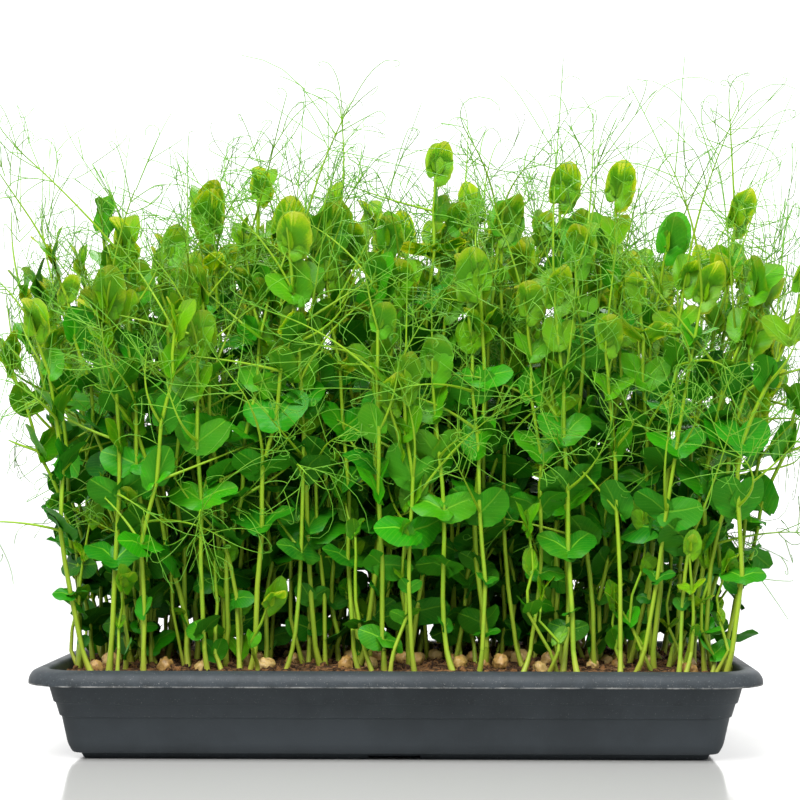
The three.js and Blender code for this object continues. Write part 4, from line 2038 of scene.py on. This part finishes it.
@dataclass
class CompostBed:
    """The bed of compost, with crumbs and fibres on its surface.

    Its foot is two rings against the tray, each with its inset and height. The field, steps,
    radii and lift of fibres are in millimetres. Broad and rough unevenness each have a fineness
    and a share.
    """

    top: float
    tray: Tray
    foot: tuple[Range, Range] = ((27.6 * MM, 5.6 * MM), (24.4 * MM, 9 * MM))
    wall: Range = (23.8 * MM, 9.2 * MM)
    wall_slope: float = 0.30
    middle: float = 119 * MM
    settled: float = 1.2 * MM
    rings: int = 34
    arc_steps: int = 16
    side_steps: int = 34
    relief: float = 1.7 * MM
    broad: Range = (22, 0.8)
    rough: Range = (150, 0.75)
    mound: float = 5.0 * MM
    mound_half: Range = (186 * MM, 112 * MM)
    crumb_density: float = 20000.0
    crumb_sizes: Range = (0.9 * MM, 3.4 * MM)
    crumb_depth: float = 0.42
    crumb_shapes: int = 6
    crumbs_below: float = 6 * MM
    fibres: int = 240
    fibre_field: Range = (172, 100)
    fibre_steps: Range = (1.2, 3.4)
    fibre_radii: Range = (0.2, 0.5)
    fibre_end: float = 0.12 * MM
    fibre_points: int = 5
    fibre_bend: float = 0.5
    fibre_lift: Range = (0.5, 0.4)
    fibre_ages: Range = (0.15, 1.0)
    seed: int = 5

    def height(self, x: float, y: float) -> float:
        """The uneven surface of the compost.

        Args:
            x: the place along the tray.
            y: the place across it.

        Returns:
            The height above the floor.
        """
        broad = self.broad[1] * noise.noise(Vector((x, y, 0.3)) * self.broad[0])
        rough = self.rough[1] * noise.fractal(Vector((x, y, 1.7)) * self.rough[0], 0.9, 2.1, 4)
        long, wide = self.mound_half
        mound = max(1 - (x / long) ** 6 - (y / wide) ** 8, 0.0)
        return self.top + self.mound * mound + self.relief * (broad + rough)

    def build(self, scatter: Growing, sweep: Growing) -> None:
        """Builds the bed, its crumbs and its fibres.

        Args:
            scatter: the tree that scatters crumbs.
            sweep: the tree that sweeps fibres.
        """
        material = Compost().material()
        tray = self.tray
        shape = Rounded(tray.length, tray.width, tray.radius, self.arc_steps, self.side_steps)
        wall = self.wall[0] - (self.top - self.wall[1]) * self.wall_slope
        rings = [[Vector((x, y, z)) for x, y in shape.outline(inset)] for inset, z in self.foot]
        for k in range(self.rings + 1):
            inset = wall + (self.middle - wall) * k / self.rings
            settled = 0.0 if k else self.settled
            outline = shape.outline(inset)
            rings.append([Vector((x, y, self.height(x, y) - settled)) for x, y in outline])
        bed = lofted("compost", rings)
        bed.data.materials.append(material)
        finish(bed, "compost", ["compost_bed"])
        self.scatter_crumbs(bed, scatter, material)
        self.lay_fibres(sweep, material)

    def scatter_crumbs(self, bed: Object, scatter: Growing, material: Material) -> None:
        """Scatters crumbs over the top of the bed.

        Args:
            bed: the bed.
            scatter: the tree that scatters them.
            material: their finish.
        """
        chance = Chance(self.seed)
        ground = bed.data.copy()
        shell = bmesh.new()
        shell.from_mesh(ground)
        shell.normal_update()
        lowest = self.top - self.crumbs_below
        low = [f for f in shell.faces if f.normal.z < 0.5 or f.calc_center_median().z < lowest]
        bmesh.ops.delete(shell, geom=low, context="FACES")
        shell.to_mesh(ground)
        shell.free()
        shapes = (
            lump(f"crumb_{k}", 1, self.crumb_depth, chance) for k in range(self.crumb_shapes)
        )
        made = scatter.grow(
            shown("plot", ground),
            "compost_crumbs",
            Templates=template_collection("crumbs", shapes),
            Density=self.crumb_density,
            Smallest=self.crumb_sizes[0],
            Largest=self.crumb_sizes[1],
            Seed=self.seed,
            Finish=material,
        )
        finish(made, "compost", ["compost_bed"])

    def lay_fibres(self, sweep: Growing, material: Material) -> None:
        """Lays short curved fibres and roots on the surface.

        Args:
            sweep: the tree that sweeps them.
            material: their finish.
        """
        chance = Chance(self.seed + 1)
        strands = Strands()
        for _ in range(self.fibres):
            x, y = (chance.uniform(-half, half) * MM for half in self.fibre_field)
            azimuth, bend = chance.uniform(0, math.tau), chance.gauss(0, self.fibre_bend)
            step = chance.uniform(*self.fibre_steps) * MM
            path: Path = []
            for k in range(self.fibre_points):
                lift = (self.fibre_lift[0] + self.fibre_lift[1] * math.sin(k)) * MM
                path.append(Vector((x, y, self.height(x, y) + lift)))
                azimuth += bend
                x, y = x + step * math.cos(azimuth), y + step * math.sin(azimuth)
            age = chance.uniform(*self.fibre_ages)
            radii = (chance.uniform(*self.fibre_radii) * MM, self.fibre_end)
            strands.add(path, radii, (age, age), 0.5)
        finish(strands.sweep("compost_fibres", sweep, 5, material), "compost", ["compost_bed"])


def lump(name: str, subdivisions: int, depth: float, chance: Chance, scale: float = 1.4) -> Object:
    """An uneven ball of radius one.

    Args:
        name: the object's name.
        subdivisions: how finely it is divided.
        depth: how deep its hollows go.
        chance: the random numbers.
        scale: how many hollows there are across it.

    Returns:
        The template.
    """
    ball = bmesh.new()
    bmesh.ops.create_icosphere(ball, subdivisions=subdivisions, radius=1.0)
    shift = Vector((chance.uniform(0, 90), chance.uniform(0, 90), chance.uniform(0, 90)))
    for point in ball.verts:
        ridge = 1 - abs(noise.noise(point.co * scale + shift)) * 2
        point.co *= 1 - depth * ridge * ridge
    mesh = bpy.data.meshes.new(name)
    ball.to_mesh(mesh)
    ball.free()
    return bpy.data.objects.new(name, mesh)


@dataclass
class Peas:
    """The germinated peas that lie half sunk in the surface.

    Their field and radii are in millimetres. The rows are a near, a far and a fullest one.
    """

    bed: CompostBed
    count: int = 66
    half_length: float = 166
    rows: tuple[float, float, float] = (-101, 92, -80)
    radii: Range = (3.5, 5.2)
    least_shown: float = 0.35
    raised: Range = (0.1, 0.6)
    sizes: Range = (0.80, 1.30)
    shapes: int = 6
    wrinkle_depth: float = 0.34
    wrinkles: float = 1.7
    seed: int = 23

    def places(self, chance: Chance, nodes: list[str]) -> list[tuple[Vector, float]]:
        """Finds the places of the peas of the solids, and of more between them.

        Args:
            chance: the random numbers.
            nodes: the names of the solids.

        Returns:
            The middle and the radius of each pea.
        """
        height = self.bed.height
        made: list[tuple[Vector, float]] = []
        for node in sorted(nodes):
            low, high = (Vector(corner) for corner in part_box(node))
            place, radius = (low + high) / 2, (high.x - low.x) / 2
            place.z = max(place.z, height(place.x, place.y) + self.least_shown * radius)
            made.append((place, radius))
        while len(made) < self.count + len(nodes):
            x = chance.uniform(-self.half_length, self.half_length) * MM
            y = chance.triangular(*self.rows) * MM
            radius = chance.uniform(*self.radii) * MM
            place = Vector((x, y, height(x, y) + radius * chance.uniform(*self.raised)))
            if min((place - other).length - room for other, room in made) > radius:
                made.append((place, radius))
        return made

    def build(self, setting: Growing) -> None:
        """Sets the peas in the compost.

        Args:
            setting: the tree that sets templates on points.
        """
        chance = Chance(self.seed)
        nodes = [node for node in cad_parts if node.startswith("pea_")]
        settings = Settings()
        for place, radius in self.places(chance, nodes):
            turn = Euler([chance.uniform(0, math.tau) for _ in range(3)]).to_quaternion()
            size = Vector([radius * chance.uniform(*self.sizes) for _ in range(3)])
            settings.add(place, turn, size, chance.randrange(self.shapes), 0.5, chance.random())
        shapes = (
            lump(f"pea_shape_{k}", 3, self.wrinkle_depth, chance, self.wrinkles)
            for k in range(self.shapes)
        )
        templates = template_collection("pea_shapes", shapes)
        finish(settings.set_out("peas", setting, templates, PeaSkin().material()), "pea", nodes)


# ---------------------------------------------------------------- stage


@dataclass(frozen=True)
class Lamp:
    """A soft square light that points at the stand."""

    name: str
    place: tuple[float, float, float]
    side: float
    power: float

    def hang(self, target: Vector) -> None:
        """Hangs the light and turns it to the target.

        Args:
            target: where it points.
        """
        data = bpy.data.lights.new(self.name, "AREA")
        data.shape, data.size, data.energy = "SQUARE", self.side, self.power
        lamp = shown(self.name, data)
        lamp.location = self.place
        lamp.rotation_euler = (target - Vector(self.place)).to_track_quat("-Z", "Y").to_euler()


@dataclass(frozen=True)
class Stage:
    """A pale glossy floor without an end, white surroundings, soft lights and the camera."""

    floor_size: float = 9.0
    eye: tuple[float, float, float] = (0.0365, -1.2905, 0.1479)
    lens: float = 102.9
    sensor: float = 36.0
    turn: float = 1.6
    rise: float = 1.9
    white: float = 1.5
    surroundings: float = 0.31
    lit: tuple[float, float, float] = (0, 0, 0.15)
    lamps: tuple[Lamp, ...] = (
        Lamp("key", (-0.35, -1.15, 1.65), 1.2, 74.0),
        Lamp("fill", (1.3, -0.9, 0.8), 1.1, 8.0),
        Lamp("back", (0.2, 1.1, 1.3), 0.9, 24.0),
    )

    def build(self) -> None:
        """Builds the floor, the surroundings, the lights and the camera."""
        self.lay_floor()
        self.surround()
        for lamp in self.lamps:
            lamp.hang(Vector(self.lit))
        data = bpy.data.cameras.new("camera")
        data.lens, data.sensor_width = self.lens, self.sensor
        camera = shown("camera", data)
        camera.location = self.eye
        camera.rotation_euler = (math.radians(90 + self.rise), 0, math.radians(self.turn))
        bpy.context.scene.camera = camera
        bpy.context.scene.view_settings.view_transform = "Standard"

    def lay_floor(self) -> None:
        """Lays the floor, which isn't a part of the object."""
        half = self.floor_size / 2
        corners = [(-half, -half, 0), (half, -half, 0), (half, half, 0), (-half, half, 0)]
        mesh = bpy.data.meshes.new("floor")
        mesh.from_pydata(corners, [], [(0, 1, 2, 3)])
        mesh.materials.append(FloorGloss().material())
        shown("floor", mesh)

    def surround(self) -> None:
        """Makes the surroundings white to see, and dimmer as a light on what is matt."""
        world = bpy.data.worlds.new("white")
        world.use_nodes = True
        tree = world.node_tree
        rays = tree.nodes.new("ShaderNodeLightPath")
        strength = tree.nodes.new("ShaderNodeMapRange")
        strength.inputs["To Min"].default_value = self.white
        strength.inputs["To Max"].default_value = self.surroundings
        tree.links.new(rays.outputs["Is Diffuse Ray"], strength.inputs["Value"])
        tree.links.new(strength.outputs["Result"], tree.nodes["Background"].inputs["Strength"])
        tree.nodes["Background"].inputs["Color"].default_value = (1.0, 1.0, 1.0, 1.0)
        bpy.context.scene.world = world


def main() -> None:
    """Builds everything in order."""
    logging.basicConfig(level=logging.INFO, format="%(name)s: %(message)s")
    soil_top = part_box("compost_bed")[1][2]
    sweep, setting, scatter = sweeping_tree(), setting_tree(), scattering_tree()
    Stage().build()
    tray = Tray()
    tray.build()
    bed = CompostBed(soil_top, tray)
    bed.build(scatter, sweep)
    Peas(bed).build(setting)
    stand = Stand(soil_top, tuple(Vector(corner) for corner in CAD_BOX))
    stand.grow()
    stand.dress(sweep, setting)
    bpy.context.view_layer.update()


if __name__ == "__main__":
    main()
